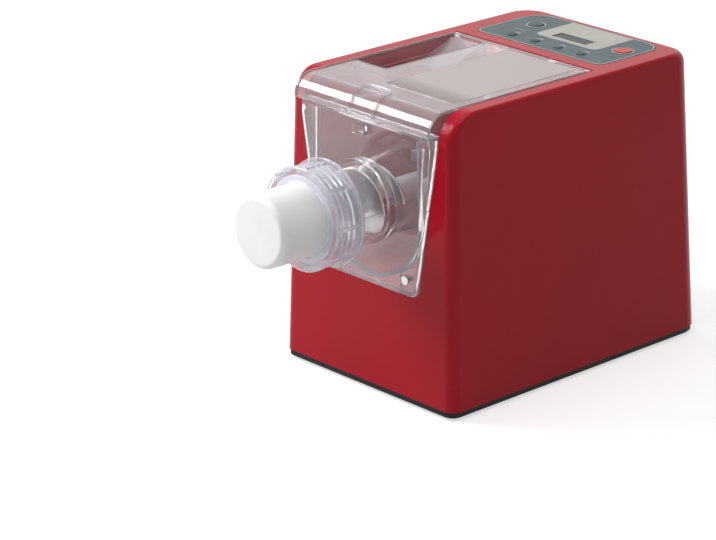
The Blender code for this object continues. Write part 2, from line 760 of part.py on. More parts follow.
def display_box(name, grow, low_z, high_z):
    """A box round the display's glass, grown sideways by so much."""
    half_x = DISPLAY_WIDTH / 2.0 + grow
    half_y = DISPLAY_DEPTH / 2.0 + grow
    return box(name, (DISPLAY_X - half_x, DISPLAY_Y - half_y, low_z),
               (DISPLAY_X + half_x, DISPLAY_Y + half_y, high_z))


def display_cutter():
    made = display_box("display_hole", GAP, BODY_HEIGHT - WALL - OVERRUN, BODY_HEIGHT + OVERRUN)
    return bpy.data.objects.get("display_hole") or add_cutter("display_hole", made)


def button_segments(radius):
    return SHAFT_SEGMENTS if radius > KEY_R else 10


def button_cutters():
    """The holes of the buttons, made once for the housing and the panel."""
    holes = []
    for name, radius, x, y in button_places():
        known = bpy.data.objects.get("hole_" + name)
        if known is None:
            hole = rod("hole_" + name, radius + GAP, (x, y, BODY_HEIGHT - WALL - LAP),
                       (x, y, BODY_HEIGHT + OVERRUN), segments=button_segments(radius))
            known = add_cutter("hole_" + name, hole)
        holes.append(known)
    return holes


def rear_cutters():
    """Vent slots and the cord gland's hole in the rear wall."""
    made = []
    for i in range(VENTS):
        z = VENT_Z + i * VENT_PITCH
        slot = box("vent", (-VENT_WIDTH / 2.0, body_rear_y(z) - WALL - OVERRUN, z),
                   (VENT_WIDTH / 2.0, body_rear_y(z) + OVERRUN, z + VENT_HEIGHT))
        made.append(add_cutter(f"vent_{i}", slot))
    start, end = gland_point(-WALL - OVERRUN), gland_point(OVERRUN)
    made.append(add_cutter("gland_hole", rod("gland_hole", GLAND_R + GAP, start, end)))
    return made


def gland_point(out):
    """A point on the gland's axis, so far outside the rear wall."""
    lean = atan2(REAR_LEAN, BODY_HEIGHT)
    return Vector((GLAND_X, body_rear_y(GLAND_Z) + out * cos(lean), GLAND_Z + out * sin(lean)))


def hinge_cutters():
    """The sockets of the hinge pins, made once for the housing and the bay."""
    made = []
    for side, word in ((-1.0, "left"), (1.0, "right")):
        name = f"pin_socket_{word}"
        known = bpy.data.objects.get(name)
        if known is None:
            reach = OPENING_TOP_HALF + PIN_SEAT + GAP
            socket = rod(name, PIN_R + GAP, (side * (OPENING_TOP_HALF - LAP), HINGE_Y, HINGE_Z),
                         (side * reach, HINGE_Y, HINGE_Z), segments=SCREW_SEGMENTS)
            known = add_cutter(name, socket)
        made.append(known)
    return made


def build_bay():
    """Red inner moulding that the chamber slides into."""
    front = FRONT_Y + WALL + GAP
    rear = OPENING_REAR_Y + BAY_WALL
    outer = extruded("chamber_bay", [opening_outline(BAY_WALL, BODY_HEIGHT)], front, rear)
    bay = add_part("chamber_bay", outer, "red_inner")
    hollow = extruded("bay_hollow", [opening_outline(0.0, BODY_HEIGHT + OVERRUN)],
                      front - OVERRUN, OPENING_REAR_Y)
    cut(bay, add_cutter("bay_hollow", hollow))
    trim(bay, add_cutter("bay_limit", body_solid("bay_limit", WALL + GAP, HEM_Z)))
    hole = rod("boss_hole", BOSS_R + FIT, (0.0, OPENING_REAR_Y - OVERRUN, AXIS_Z),
               (0.0, rear + OVERRUN, AXIS_Z), segments=RING_SEGMENTS)
    cut(bay, add_cutter("boss_hole", hole), *hinge_cutters())


def base_section(inset):
    """The plan outline at the hem, drawn in by the inset."""
    return body_section(HEM_Z, inset)


def build_base():
    """Black base plate with its locating lip, vent slots and screw holes, on four feet."""
    plate = extruded("base_plate", [base_section(BASE_INSET)], FOOT_HEIGHT, FOOT_HEIGHT + BASE_RIM, "Z")
    base = add_part("base_plate", plate, "black_plastic")
    lip_inset = WALL + FIT
    lip_top = HEM_Z + BASE_LIP_HEIGHT
    lip = extruded("base_lip", [base_section(lip_inset)], FLOOR_Z - LAP, lip_top, "Z")
    pocket = extruded("base_pocket", [base_section(lip_inset + BASE_LIP_WALL)], FLOOR_Z,
                      lip_top + OVERRUN, "Z")
    fuse(base, add_cutter("base_lip", lip))
    cut(base, add_cutter("base_pocket", pocket))
    for i in range(BASE_SLOTS):
        x = (i - (BASE_SLOTS - 1) / 2.0) * BASE_SLOT_PITCH
        y = MOTOR_REAR_Y
        slot = box("base_slot", (x - BASE_SLOT_WIDTH / 2.0, y - BASE_SLOT_LENGTH / 2.0, 0.0),
                   (x + BASE_SLOT_WIDTH / 2.0, y, FLOOR_Z + LAP))
        cut(base, add_cutter(f"base_slot_{i}", slot))
    for number, (x, y) in enumerate(screw_post_places()):
        hole = rod("base_hole", SCREW_SHANK_R + GAP, (x, y, 0.0), (x, y, FLOOR_Z + OVERRUN), segments=SCREW_SEGMENTS)
        seat = rod("base_seat", SCREW_HEAD_R + GAP, (x, y, 0.0),
                   (x, y, FOOT_HEIGHT + SCREW_HEAD_HEIGHT + GAP), segments=SCREW_SEGMENTS)
        cut(base, add_cutter(f"base_hole_{number}", hole), add_cutter(f"base_seat_{number}", seat))
    for side, hand in ((-1.0, "left"), (1.0, "right")):
        for end, word in ((-1.0, "front"), (1.0, "rear")):
            x = side * (BASE_WIDTH / 2.0 - FOOT_INSET)
            y = end * (BODY_DEPTH / 2.0 - FOOT_INSET)
            foot = rod("foot", FOOT_R - FOOT_TAPER, (x, y, 0.0), (x, y, FOOT_HEIGHT - GAP),
                       segments=12, end_radius=FOOT_R)
            add_part(f"foot_{word}_{hand}", foot, "rubber")


def build_base_screws():
    """Four screws that hold the base plate to the housing's posts."""
    for number, (x, y) in enumerate(screw_post_places()):
        low = FOOT_HEIGHT + GAP
        head = rod("base_screw", SCREW_HEAD_R, (x, y, low), (x, y, low + SCREW_HEAD_HEIGHT - GAP),
                   segments=SCREW_SEGMENTS)
        shank_top = HEM_Z + BASE_LIP_HEIGHT + FIT + SCREW_GRIP
        shank = rod("screw_shank", SCREW_SHANK_R, (x, y, low + LAP), (x, y, shank_top), segments=SCREW_SEGMENTS)
        screw = add_part(f"base_screw_{number + 1}", head, "steel")
        fuse(screw, add_cutter(f"screw_shank_{number}", shank))


def build_chamber():
    """Clear trough with its front flange, rear wall and two runners."""
    top_half = TROUGH_R + TROUGH_WALL
    rim = top_half + TROUGH_RIM
    rim_low = TROUGH_TOP_Z - TROUGH_WALL
    runner_z = OPENING_BASE_Z + GAP
    outline = [(-rim, TROUGH_TOP_Z), (-rim, rim_low), (-top_half, rim_low - TROUGH_WALL)]
    outline += arc((0.0, AXIS_Z), top_half, pi, 2.0 * pi, TROUGH_STEPS)
    outline += [(top_half, rim_low - TROUGH_WALL), (rim, rim_low), (rim, TROUGH_TOP_Z)]
    body = extruded("mixing_chamber", [outline], TROUGH_FRONT_Y + LAP, TROUGH_REAR_Y)
    chamber = add_part("mixing_chamber", body, "clear", (0.0, TROUGH_FRONT_Y, AXIS_Z))
    flange = extruded("chamber_flange", [opening_outline(-FIT, TROUGH_TOP_Z + LAP)], TROUGH_FRONT_Y,
                      TROUGH_FRONT_Y + FLANGE_THICKNESS)
    fuse(chamber, add_cutter("chamber_flange", flange))
    for side, hand in ((-1.0, "left"), (1.0, "right")):
        inner, outer = side * RUNNER_X, side * (RUNNER_X + RUNNER_WIDTH)
        runner_top = AXIS_Z - sqrt(top_half ** 2 - (RUNNER_X + RUNNER_WIDTH) ** 2) + LAP
        runner = box("runner", (min(inner, outer), TROUGH_FRONT_Y + 2.0 * LAP, runner_z),
                     (max(inner, outer), TROUGH_REAR_Y - LAP, runner_top))
        fuse(chamber, add_cutter(f"runner_{hand}", runner))
    hollow = extruded("chamber_hollow", [u_outline(TROUGH_R, TROUGH_TOP_Z + OVERRUN)],
                      TROUGH_FRONT_Y - OVERRUN, TROUGH_REAR_Y - TROUGH_WALL)
    seal_hole = rod("seal_hole", SEAL_R + GAP, (0.0, TROUGH_REAR_Y - OVERRUN, AXIS_Z),
                    (0.0, TROUGH_REAR_Y + OVERRUN, AXIS_Z), segments=RING_SEGMENTS)
    cut(chamber, add_cutter("chamber_hollow", hollow), add_cutter("seal_hole", seal_hole))
    for side, hand in ((-1.0, "left"), (1.0, "right")):
        hole = rod("flange_hole", SCREW_SHANK_R + GAP,
                   (side * PLATE_SCREW_X, TROUGH_FRONT_Y - OVERRUN, PLATE_SCREW_Z),
                   (side * PLATE_SCREW_X, TROUGH_FRONT_Y + OVERRUN, PLATE_SCREW_Z), segments=SCREW_SEGMENTS)
        cut(chamber, add_cutter(f"flange_hole_{hand}", hole))


def build_seals():
    """Lip seal round the drive shaft, and the grey U-shaped gasket behind the front plate."""
    inner = SHAFT_R + GAP + GAP / 2.0
    wall_y = TROUGH_REAR_Y - TROUGH_WALL
    front = -(wall_y - GAP - SEAL_FLANGE)
    flange_back = -(wall_y - GAP)
    rear = -(TROUGH_REAR_Y + FIT)
    profile = ((inner, front), (SEAL_FLANGE_R, front), (SEAL_FLANGE_R, flange_back),
               (SEAL_R, flange_back), (SEAL_R, rear), (inner, rear))
    add_part("shaft_seal", turned("shaft_seal", profile, SHAFT_SEGMENTS), "rubber")
    outer = u_outline(TROUGH_R + GASKET_WIDTH, TROUGH_TOP_Z)
    ring = outer + list(reversed(u_outline(TROUGH_R, TROUGH_TOP_Z)))
    front = TROUGH_FRONT_Y - GAP - GASKET_THICKNESS
    add_part("chamber_gasket", extruded("chamber_gasket", [ring], front, TROUGH_FRONT_Y - GAP), "seal_grey")


def plate_ring(y, inset, taper, lean):
    """One outline of the front plate; taper and lean give its front face."""
    points = []
    for x, z in opening_outline(-FIT - inset, PLATE_TOP_Z - inset):
        share = (z - OPENING_BASE_Z) / (PLATE_TOP_Z - OPENING_BASE_Z)
        draw = taper * (PLATE_BASE_TAPER + (PLATE_TOP_TAPER - PLATE_BASE_TAPER) * share)
        reach = lean * (PLATE_BASE_REACH + (PLATE_TOP_REACH - PLATE_BASE_REACH) * share)
        points.append((x - draw * (1.0 if x > 0.0 else -1.0), y - reach, z))
    return points


def plate_solid(name, inset, rear_y):
    """The front plate's outer form, or with an inset its hollow."""
    mid = FRONT_Y - PLATE_PROUD
    return loft(name, [plate_ring(rear_y, inset, 0.0, 0.0), plate_ring(mid, inset, 0.0, 0.0),
                       plate_ring(FRONT_Y + inset, inset, 1.0, 1.0)])


def plate_reach(z):
    """How far the front plate's face stands ahead of the red face at height z."""
    share = (z - OPENING_BASE_Z) / (PLATE_TOP_Z - OPENING_BASE_Z)
    return PLATE_BASE_REACH + (PLATE_TOP_REACH - PLATE_BASE_REACH) * share


def build_front_plate():
    """Clear front plate: leaning face, skirt, rib behind it, and the extruder tube."""
    rear = TROUGH_FRONT_Y - GAP
    plate = add_part("front_plate", plate_solid("front_plate", 0.0, rear), "clear")
    cut(plate, add_cutter("plate_hollow", plate_solid("plate_hollow", PLATE_WALL, rear + OVERRUN)))
    outer = u_outline(TROUGH_R + GASKET_WIDTH, TROUGH_TOP_Z)
    ring = outer + list(reversed(u_outline(TROUGH_R, TROUGH_TOP_Z)))
    rib_rear = TROUGH_FRONT_Y - GAP - GASKET_THICKNESS - GAP
    rib = add_cutter("plate_rib", extruded("plate_rib", [ring], FRONT_Y - LID_REACH - OVERRUN, rib_rear))
    trim(rib, add_cutter("plate_limit", plate_solid("plate_limit", PLATE_WALL / 2.0, rear + OVERRUN)))
    fuse(plate, rib, *tube_tools())
    bore = rod("tube_bore", TUBE_BORE_R, (0.0, rear + OVERRUN, AXIS_Z),
               (0.0, TUBE_END_Y - OVERRUN, AXIS_Z), segments=TUBE_SEGMENTS)
    cut(plate, add_cutter("tube_bore", bore))
    for side, hand in ((-1.0, "left"), (1.0, "right")):
        hole = rod("plate_hole", SCREW_SHANK_R + GAP,
                   (side * PLATE_SCREW_X, FRONT_Y - OVERRUN, PLATE_SCREW_Z),
                   (side * PLATE_SCREW_X, rear, PLATE_SCREW_Z), segments=SCREW_SEGMENTS)
        cut(plate, add_cutter(f"plate_hole_{hand}", hole))


def tube_tools():
    """The tube's collar, barrel, side ribs and bayonet lugs, and the lid's catch."""
    collar_y = FRONT_Y - TUBE_COLLAR_REACH
    root_y = FRONT_Y - LAP
    profile = ((0.0, -TUBE_END_Y), (TUBE_R, -TUBE_END_Y), (TUBE_R, -collar_y),
               (TUBE_COLLAR_R, -collar_y), (TUBE_COLLAR_R, -root_y), (0.0, -root_y))
    tools = [add_cutter("tube", turned("tube", profile, TUBE_SEGMENTS, closed=False))]
    for side, hand in ((-1.0, "left"), (1.0, "right")):
        near, far = side * (TUBE_R - LAP), side * (TUBE_R + TUBE_RIB_HEIGHT)
        rib = box("tube_rib", (min(near, far), collar_y - TUBE_RIB_LENGTH, AXIS_Z - TUBE_RIB_WIDTH / 2.0),
                  (max(near, far), collar_y + LAP, AXIS_Z + TUBE_RIB_WIDTH / 2.0))
        tools.append(add_cutter(f"tube_rib_{hand}", rib))
    lug_rear = TUBE_END_Y + LUG_SETBACK
    for i in range(LUG_COUNT):
        lug = lug_mesh("tube_lug", i, TUBE_R - LAP, TUBE_R + LUG_HEIGHT, lug_rear - LUG_THICKNESS, lug_rear)
        tools.append(add_cutter(f"tube_lug_{i}", lug))
    catch_top = PLATE_TOP_Z - CATCH_DROP
    face = FRONT_Y - plate_reach(catch_top)
    catch = box("lid_catch", (-CATCH_WIDTH / 2.0, face - CATCH_REACH, catch_top - CATCH_HEIGHT),
                (CATCH_WIDTH / 2.0, face + LAP, catch_top))
    tools.append(add_cutter("lid_catch", catch))
    return tools


def lug_mesh(name, number, inner_r, outer_r, low_y, high_y):
    """One bayonet lug, a sector of a ring about the extruder's axis."""
    middle = pi / 2.0 + 2.0 * pi * number / LUG_COUNT
    start, end = middle - LUG_ARC / 2.0, middle + LUG_ARC / 2.0
    centre = (0.0, AXIS_Z)
    outline = arc(centre, outer_r, start, end, CORNER_STEPS) + arc(centre, inner_r, end, start, CORNER_STEPS)
    return extruded(name, [outline], low_y, high_y)


def build_plate_screws():
    """The two round screws in the front plate's lower corners."""
    face = FRONT_Y - plate_reach(PLATE_SCREW_Z + PLATE_SCREW_HEAD_R)
    end = TROUGH_FRONT_Y + FLANGE_THICKNESS + SCREW_SHANK_R
    for side, hand in ((-1.0, "left"), (1.0, "right")):
        x = side * PLATE_SCREW_X
        head = rod("plate_screw", PLATE_SCREW_HEAD_R, (x, face - GAP, PLATE_SCREW_Z),
                   (x, face - GAP - PLATE_SCREW_HEAD, PLATE_SCREW_Z), segments=16)
        shank = rod("plate_shank", SCREW_SHANK_R, (x, face - PLATE_SCREW_HEAD / 2.0, PLATE_SCREW_Z),
                    (x, end, PLATE_SCREW_Z), segments=SCREW_SEGMENTS)
        screw = add_part(f"plate_screw_{hand}", head, "steel")
        fuse(screw, add_cutter(f"plate_shank_{hand}", shank))


def build_ring_nut():
    """Clear ring nut with grip bars, ribs and three inner lugs that lock behind the tube's."""
    front = FRONT_Y - NUT_REACH
    rear = FRONT_Y - NUT_REAR_REACH
    bore = TUBE_R + LUG_HEIGHT + FIT
    profile = [(TUBE_R - GAP - LUG_HEIGHT + FIT, -front), (NUT_FRONT_RIM_R - LAP, -front),
               (NUT_FRONT_RIM_R, -front - LAP), (NUT_FRONT_RIM_R, -front - NUT_FRONT_RIM)]
    body_front = -front - NUT_FRONT_RIM
    body_rear = -rear + NUT_REAR_RIM
    pitch = (body_front - body_rear) / (NUT_RIBS + 1)
    profile.append((NUT_BODY_R, body_front))
    for i in range(NUT_RIBS):
        middle = body_front - (i + 1) * pitch
        profile += [(NUT_BODY_R, middle + NUT_RIB_WIDTH), (NUT_RIB_R, middle),
                    (NUT_BODY_R, middle - NUT_RIB_WIDTH)]
    profile += [(NUT_BODY_R, body_rear), (NUT_REAR_RIM_R, body_rear), (NUT_REAR_RIM_R, -rear),
                (bore, -rear), (bore, -front - NUT_LIP)]
    profile.append((profile[0][0], -front - NUT_LIP))
    nut = add_part("ring_nut", turned("ring_nut", profile, TUBE_SEGMENTS), "clear", (0.0, TUBE_END_Y, AXIS_Z))
    for i in range(NUT_GRIPS):
        grip = box("grip", (NUT_BODY_R - LAP, rear - NUT_REAR_RIM - LAP, -NUT_GRIP_WIDTH / 2.0),
                   (NUT_FRONT_RIM_R - LAP / 2.0, front + NUT_FRONT_RIM / 2.0, NUT_GRIP_WIDTH / 2.0))
        grip.transform(Matrix.Translation((0.0, 0.0, AXIS_Z)) @ Matrix.Rotation(2.0 * pi * i / NUT_GRIPS, 4, 'Y'))
        fuse(nut, add_cutter(f"nut_grip_{i}", grip))
    lug_front = TUBE_END_Y + LUG_SETBACK + GAP
    for i in range(LUG_COUNT):
        lug = lug_mesh("nut_lug", i, TUBE_R + GAP, bore + LAP, lug_front, lug_front + LUG_THICKNESS)
        fuse(nut, add_cutter(f"nut_lug_{i}", lug))


def build_die():
    """White pasta die: flange held by the nut, closed round nose, holes on its underside."""
    flange_rear = TUBE_END_Y - GAP
    flange_front = flange_rear - DIE_FLANGE
    flange_r = TUBE_R + LUG_HEIGHT
    nose = arc((DIE_R - DIE_EDGE_R, -DIE_TIP_Y - DIE_EDGE_R), DIE_EDGE_R, pi / 2.0, 0.0, CORNER_STEPS)
    profile = [(0.0, -DIE_TIP_Y)] + nose
    profile += [(DIE_R, -flange_front), (flange_r, -flange_front), (flange_r, -flange_rear),
                (DIE_R - DIE_WALL, -flange_rear), (DIE_R - DIE_WALL, -DIE_TIP_Y - DIE_END_WALL),
                (0.0, -DIE_TIP_Y - DIE_END_WALL)]
    die = add_part("pasta_die", turned("pasta_die", profile, TUBE_SEGMENTS, closed=False), "white_die")
    for row in range(DIE_HOLE_ROWS):
        y = DIE_TIP_Y + DIE_HOLE_SETBACK + row * DIE_HOLE_PITCH
        for column in range(DIE_HOLE_COLUMNS):
            x = (column - (DIE_HOLE_COLUMNS - 1) / 2.0) * DIE_HOLE_PITCH
            hole = rod("die_hole", DIE_HOLE_R, (x, y, AXIS_Z - DIE_R - LAP),
                       (x, y, AXIS_Z - DIE_R / 2.0), segments=6)
            cut(die, add_cutter(f"die_hole_{row}_{column}", hole))


def build_paddle():
    """Mixing paddle: hub with a hexagonal socket, and four arms that carry scraper bars."""
    rear = TROUGH_REAR_Y - TROUGH_WALL - SEAL_FLANGE - 2.0 * GAP - HUB_END_GAP
    screw_rear = TUBE_END_Y + SCREW_TIP_GAP + FLIGHT_PITCH * FLIGHT_TURNS + FLIGHT_THICKNESS
    hub = rod("mixing_paddle", HUB_R, (0.0, rear, AXIS_Z), (0.0, screw_rear + GAP, AXIS_Z), segments=RING_SEGMENTS)
    paddle = add_part("mixing_paddle", hub, "paddle_grey", (0.0, rear, AXIS_Z))
    for i, share in enumerate(ARM_TURNS):
        y = rear - ARM_FIRST_SETBACK - i * ARM_PITCH_SHARE * (rear - screw_rear)
        neck = ARM_TIP_R - SCRAPER_HEIGHT
        outline = [(HUB_R - LAP, y - ARM_WIDTH / 2.0), (neck, y - ARM_WIDTH / 2.0 + LAP),
                   (neck, y - SCRAPER_LENGTH / 2.0), (ARM_TIP_R, y - SCRAPER_LENGTH / 2.0 + LAP),
                   (ARM_TIP_R, y + SCRAPER_LENGTH / 2.0 - LAP), (neck, y + SCRAPER_LENGTH / 2.0),
                   (neck, y + ARM_WIDTH / 2.0 - LAP), (HUB_R - LAP, y + ARM_WIDTH / 2.0)]
        arm = extruded("arm", [outline], -ARM_THICKNESS / 2.0, ARM_THICKNESS / 2.0, "Z")
        arm.transform(Matrix.Translation((0.0, 0.0, AXIS_Z)) @ Matrix.Rotation(-2.0 * pi * share, 4, 'Y'))
        fuse(paddle, add_cutter(f"paddle_arm_{i}", arm))
    socket_r = SHAFT_R + GAP / cos(pi / 6.0)
    dog_front = TROUGH_REAR_Y - DOG_LENGTH - GAP
    socket = rod("dog_socket", socket_r, (0.0, rear + OVERRUN, AXIS_Z), (0.0, dog_front, AXIS_Z), segments=6)
    peg_r = SCREW_PEG_R + GAP / cos(pi / 6.0)
    peg = rod("peg_socket", peg_r, (0.0, screw_rear - OVERRUN, AXIS_Z),
              (0.0, screw_rear + SCREW_PEG_LENGTH + GAP, AXIS_Z), segments=6)
    cut(paddle, add_cutter("dog_socket", socket), add_cutter("peg_socket", peg))


def build_extrusion_screw():
    """Extrusion screw: one helical flight on a core that grows towards the die."""
    front = TUBE_END_Y + SCREW_TIP_GAP
    flight_length = FLIGHT_PITCH * FLIGHT_TURNS
    rear = front + flight_length + FLIGHT_THICKNESS
    profile = ((0.0, -front - LAP), (SCREW_CORE_FRONT_R - LAP, -front - LAP),
               (SCREW_CORE_FRONT_R, -front - 2.0 * LAP), (SCREW_CORE_R, -rear), (0.0, -rear))
    core = turned("extrusion_screw", profile, FLIGHT_STEPS, closed=False)
    screw = add_part("extrusion_screw", core, "steel", (0.0, rear, AXIS_Z))
    peg = rod("screw_peg", SCREW_PEG_R, (0.0, rear - SCREW_PEG_R, AXIS_Z),
              (0.0, rear + SCREW_PEG_LENGTH, AXIS_Z), segments=6)
    fuse(screw, add_cutter("screw_peg", peg), add_cutter("flight", flight_mesh(front, rear)))


def flight_mesh(front, rear):
    """The helical flight, swept by a Screw modifier from its section."""
    inner = SCREW_CORE_R - 2.0 * LAP
    half = FLIGHT_THICKNESS / 2.0
    section = ((inner, half), (FLIGHT_R, half - LAP / 2.0), (FLIGHT_R, LAP / 2.0 - half), (inner, -half))
    line = bpy.data.meshes.new("flight_section")
    line.from_pydata([(radius, 0.0, height) for radius, height in section], [(0, 1), (1, 2), (2, 3), (3, 0)], [])
    made = bpy.data.objects.new("flight", line)
    bpy.context.scene.collection.objects.link(made)
    sweep = made.modifiers.new("sweep", 'SCREW')
    sweep.steps = FLIGHT_STEPS
    sweep.render_steps = FLIGHT_STEPS
    sweep.iterations = FLIGHT_TURNS
    sweep.screw_offset = FLIGHT_PITCH
    mesh = evaluated_mesh(made, "flight")
    place = Matrix.Translation((0.0, rear - half, AXIS_Z)) @ Matrix.Rotation(pi / 2.0, 4, 'X')
    mesh.transform(place)
    return mesh


def gear_outline(teeth, module, tooth_at):
    """An external involute gear's outline, one tooth centred on the angle tooth_at."""
    pitch_r = teeth * module / 2.0
    base_r = pitch_r * cos(PRESSURE_ANGLE)
    tip_r = pitch_r + ADDENDUM_SHARE * module
    root_r = pitch_r - DEDENDUM_SHARE * module
    half_at_pitch = pi / (2.0 * teeth) - BACKLASH / (4.0 * pitch_r)
    flank = (base_r, tip_r) if root_r < base_r else (tip_r,)
    points = []
    for tooth in range(teeth):
        middle = tooth_at + 2.0 * pi * tooth / teeth
        halves = [(radius, half_at_pitch + involute(PRESSURE_ANGLE) - involute(acos(base_r / radius)))
                  for radius in flank]
        foot = halves[0][1] if root_r < base_r else (
            half_at_pitch + involute(PRESSURE_ANGLE) - involute(acos(base_r / root_r)))
        halves.insert(0, (root_r, foot))
        points += [(radius, middle - half) for radius, half in halves]
        points += [(radius, middle + half) for radius, half in reversed(halves)]
    return [(radius * cos(angle), radius * sin(angle)) for radius, angle in points]


def involute(angle):
    return tan(angle) - angle


def gear_mesh(name, teeth, module, tooth_at, centre_z, low_y, high_y, bore_r=0.0):
    """A spur gear that turns about a line along Y through centre_z."""
    loops = [[(x, z + centre_z) for x, z in gear_outline(teeth, module, tooth_at)]]
    if bore_r:
        loops.append(circle((0.0, centre_z), bore_r, SHAFT_SEGMENTS))
    return extruded(name, loops, low_y, high_y)


def build_gears():
    """Motor pinion, compound idler and output gear, in mesh at rest."""
    pinion = gear_mesh("motor_pinion", PINION_TEETH, FIRST_MODULE, pi / 2.0 + pi / PINION_TEETH, MOTOR_Z,
                       IDLER_GEAR_Y - GEAR_SPACING / 2.0,
                       IDLER_GEAR_Y - GEAR_SPACING / 2.0 + MOTOR_PINION_FACE, MOTOR_SHAFT_R + GAP)
    add_part("motor_pinion", pinion, "steel", (0.0, IDLER_GEAR_Y, MOTOR_Z))
    wheel = gear_mesh("idler_gear", IDLER_TEETH, FIRST_MODULE, -pi / 2.0, IDLER_Z,
                      IDLER_GEAR_Y, IDLER_GEAR_Y + IDLER_FACE)
    idler = add_part("idler_gear", wheel, "nylon", (0.0, IDLER_GEAR_Y, IDLER_Z))
    second = gear_mesh("idler_pinion", PINION_TEETH, SECOND_MODULE, pi / 2.0, IDLER_Z,
                       OUTPUT_Y - GAP, IDLER_GEAR_Y + LAP)
    fuse(idler, add_cutter("idler_pinion", second))
    cut(idler, along_y("idler_bore", IDLER_PIN_R + GAP, 0.0, IDLER_Z, OUTPUT_Y - OVERRUN,
                       CASE_REAR_Y + OVERRUN))
    wheel = gear_mesh("output_gear", OUTPUT_TEETH, SECOND_MODULE, -pi / 2.0 + pi / OUTPUT_TEETH, AXIS_Z,
                      OUTPUT_Y, OUTPUT_Y + OUTPUT_FACE)
    output = add_part("output_gear", wheel, "nylon", (0.0, OUTPUT_Y, AXIS_Z))
    rim_r = OUTPUT_TEETH * SECOND_MODULE / 2.0 - GEAR_RIM
    centre = (0.0, AXIS_Z)
    web = extruded("gear_web", [circle(centre, rim_r, RING_SEGMENTS), circle(centre, GEAR_HUB_R, SHAFT_SEGMENTS)],
                   OUTPUT_Y + OUTPUT_FACE - GEAR_WEB_RECESS, OUTPUT_Y + OUTPUT_FACE + OVERRUN)
    cut(output, add_cutter("gear_web", web),
        along_y("output_bore", SHAFT_R + GAP, 0.0, AXIS_Z, OUTPUT_Y - OVERRUN, CASE_REAR_Y + OVERRUN))


def build_drive_shaft():
    """Output shaft with the hexagonal dog that turns the paddle."""
    rear = COVER_REAR_Y - GAP
    dog_front = TROUGH_REAR_Y - DOG_LENGTH
    shaft = rod("drive_shaft", SHAFT_R, (0.0, rear, AXIS_Z), (0.0, TROUGH_REAR_Y - LAP, AXIS_Z))
    drive = add_part("drive_shaft", shaft, "steel", (0.0, rear, AXIS_Z))
    dog = rod("drive_dog", SHAFT_R, (0.0, TROUGH_REAR_Y, AXIS_Z), (0.0, dog_front, AXIS_Z), segments=6)
    fuse(drive, add_cutter("drive_dog", dog))


def case_outline(shrink):
    """The gearbox's outline: the hull of a circle round each of the three axes."""
    output_r = OUTPUT_TEETH * SECOND_MODULE / 2.0 + SECOND_MODULE + CASE_MARGIN + CASE_WALL - shrink
    idler_r = IDLER_TEETH * FIRST_MODULE / 2.0 + FIRST_MODULE + CASE_MARGIN + CASE_WALL - shrink
    motor_r = PINION_TEETH * FIRST_MODULE / 2.0 + FIRST_MODULE + 3.0 * CASE_MARGIN + CASE_WALL - shrink
    points = []
    for centre_z, radius in ((AXIS_Z, output_r), (IDLER_Z, idler_r), (MOTOR_Z, motor_r)):
        points += circle((0.0, centre_z), radius, RING_SEGMENTS)
    return hull(points)


def hull(points):
    """The convex hull of points in a plane, counter-clockwise."""
    points = sorted(set(points))
    outline = []
    for run in (points, points[::-1]):
        chain = []
        for point in run:
            while len(chain) > 1 and turn_of(chain[-2], chain[-1], point) <= 0.0:
                chain.pop()
            chain.append(point)
        outline += chain[:-1]
    return outline


def turn_of(a, b, c):
    """Positive when the path a, b, c turns left."""
    return (b[0] - a[0]) * (c[1] - a[1]) - (b[1] - a[1]) * (c[0] - a[0])


def along_y(name, radius, x, z, low_y, high_y, segments=SHAFT_SEGMENTS):
    """A cutter that is round and runs along Y."""
    return add_cutter(name, rod(name, radius, (x, low_y, z), (x, high_y, z), segments=segments))


def build_gearbox():
    """Gearbox case with its bearing boss, cover, bearing and idler pin."""
    case = add_part("gearbox_case", extruded("gearbox_case", [case_outline(0.0)], CASE_FRONT_Y, CASE_REAR_Y),
                    "motor_grey")
    hollow = extruded("case_hollow", [case_outline(CASE_WALL)], CASE_FRONT_Y + CASE_FLOOR,
                      CASE_REAR_Y + OVERRUN)
    boss_front = CASE_FRONT_Y - BOSS_REACH
    fuse(case, along_y("case_boss", BOSS_R, 0.0, AXIS_Z, boss_front, CASE_FRONT_Y + LAP, RING_SEGMENTS))
    seat_front = boss_front + BOSS_LIP
    cut(case, add_cutter("case_hollow", hollow),
        along_y("bearing_seat", BEARING_R + GAP, 0.0, AXIS_Z, seat_front, CASE_REAR_Y, RING_SEGMENTS),
        along_y("case_shaft_hole", SHAFT_R + FIT, 0.0, AXIS_Z, boss_front - OVERRUN, CASE_REAR_Y),
        along_y("case_pin_hole", IDLER_PIN_R + GAP, 0.0, IDLER_Z, boss_front - OVERRUN, CASE_REAR_Y))
    inner, outer = SHAFT_R + GAP, BEARING_R
    front, rear = -(seat_front + GAP), -(seat_front + GAP + BEARING_LENGTH)
    ring = ((inner, front), (outer, front), (outer, rear), (inner, rear))
    add_part("shaft_bearing", turned("shaft_bearing", ring, RING_SEGMENTS), "steel")
    cover = add_part("gearbox_cover", extruded("gearbox_cover", [case_outline(0.0)], COVER_Y, COVER_REAR_Y),
                     "motor_grey")
    cut(cover, along_y("cover_shaft_hole", SHAFT_R + GAP, 0.0, AXIS_Z, COVER_Y - LAP, COVER_REAR_Y + LAP),
        along_y("cover_pin_hole", IDLER_PIN_R + GAP, 0.0, IDLER_Z, COVER_Y - LAP, COVER_REAR_Y + LAP),
        along_y("cover_motor_hole", MOTOR_SHAFT_R + FIT, 0.0, MOTOR_Z, COVER_Y - LAP, COVER_REAR_Y + LAP))
    pin = rod("idler_pin", IDLER_PIN_R, (0.0, CASE_FRONT_Y + GAP, IDLER_Z), (0.0, COVER_REAR_Y, IDLER_Z))
    add_part("idler_pin", pin, "steel")


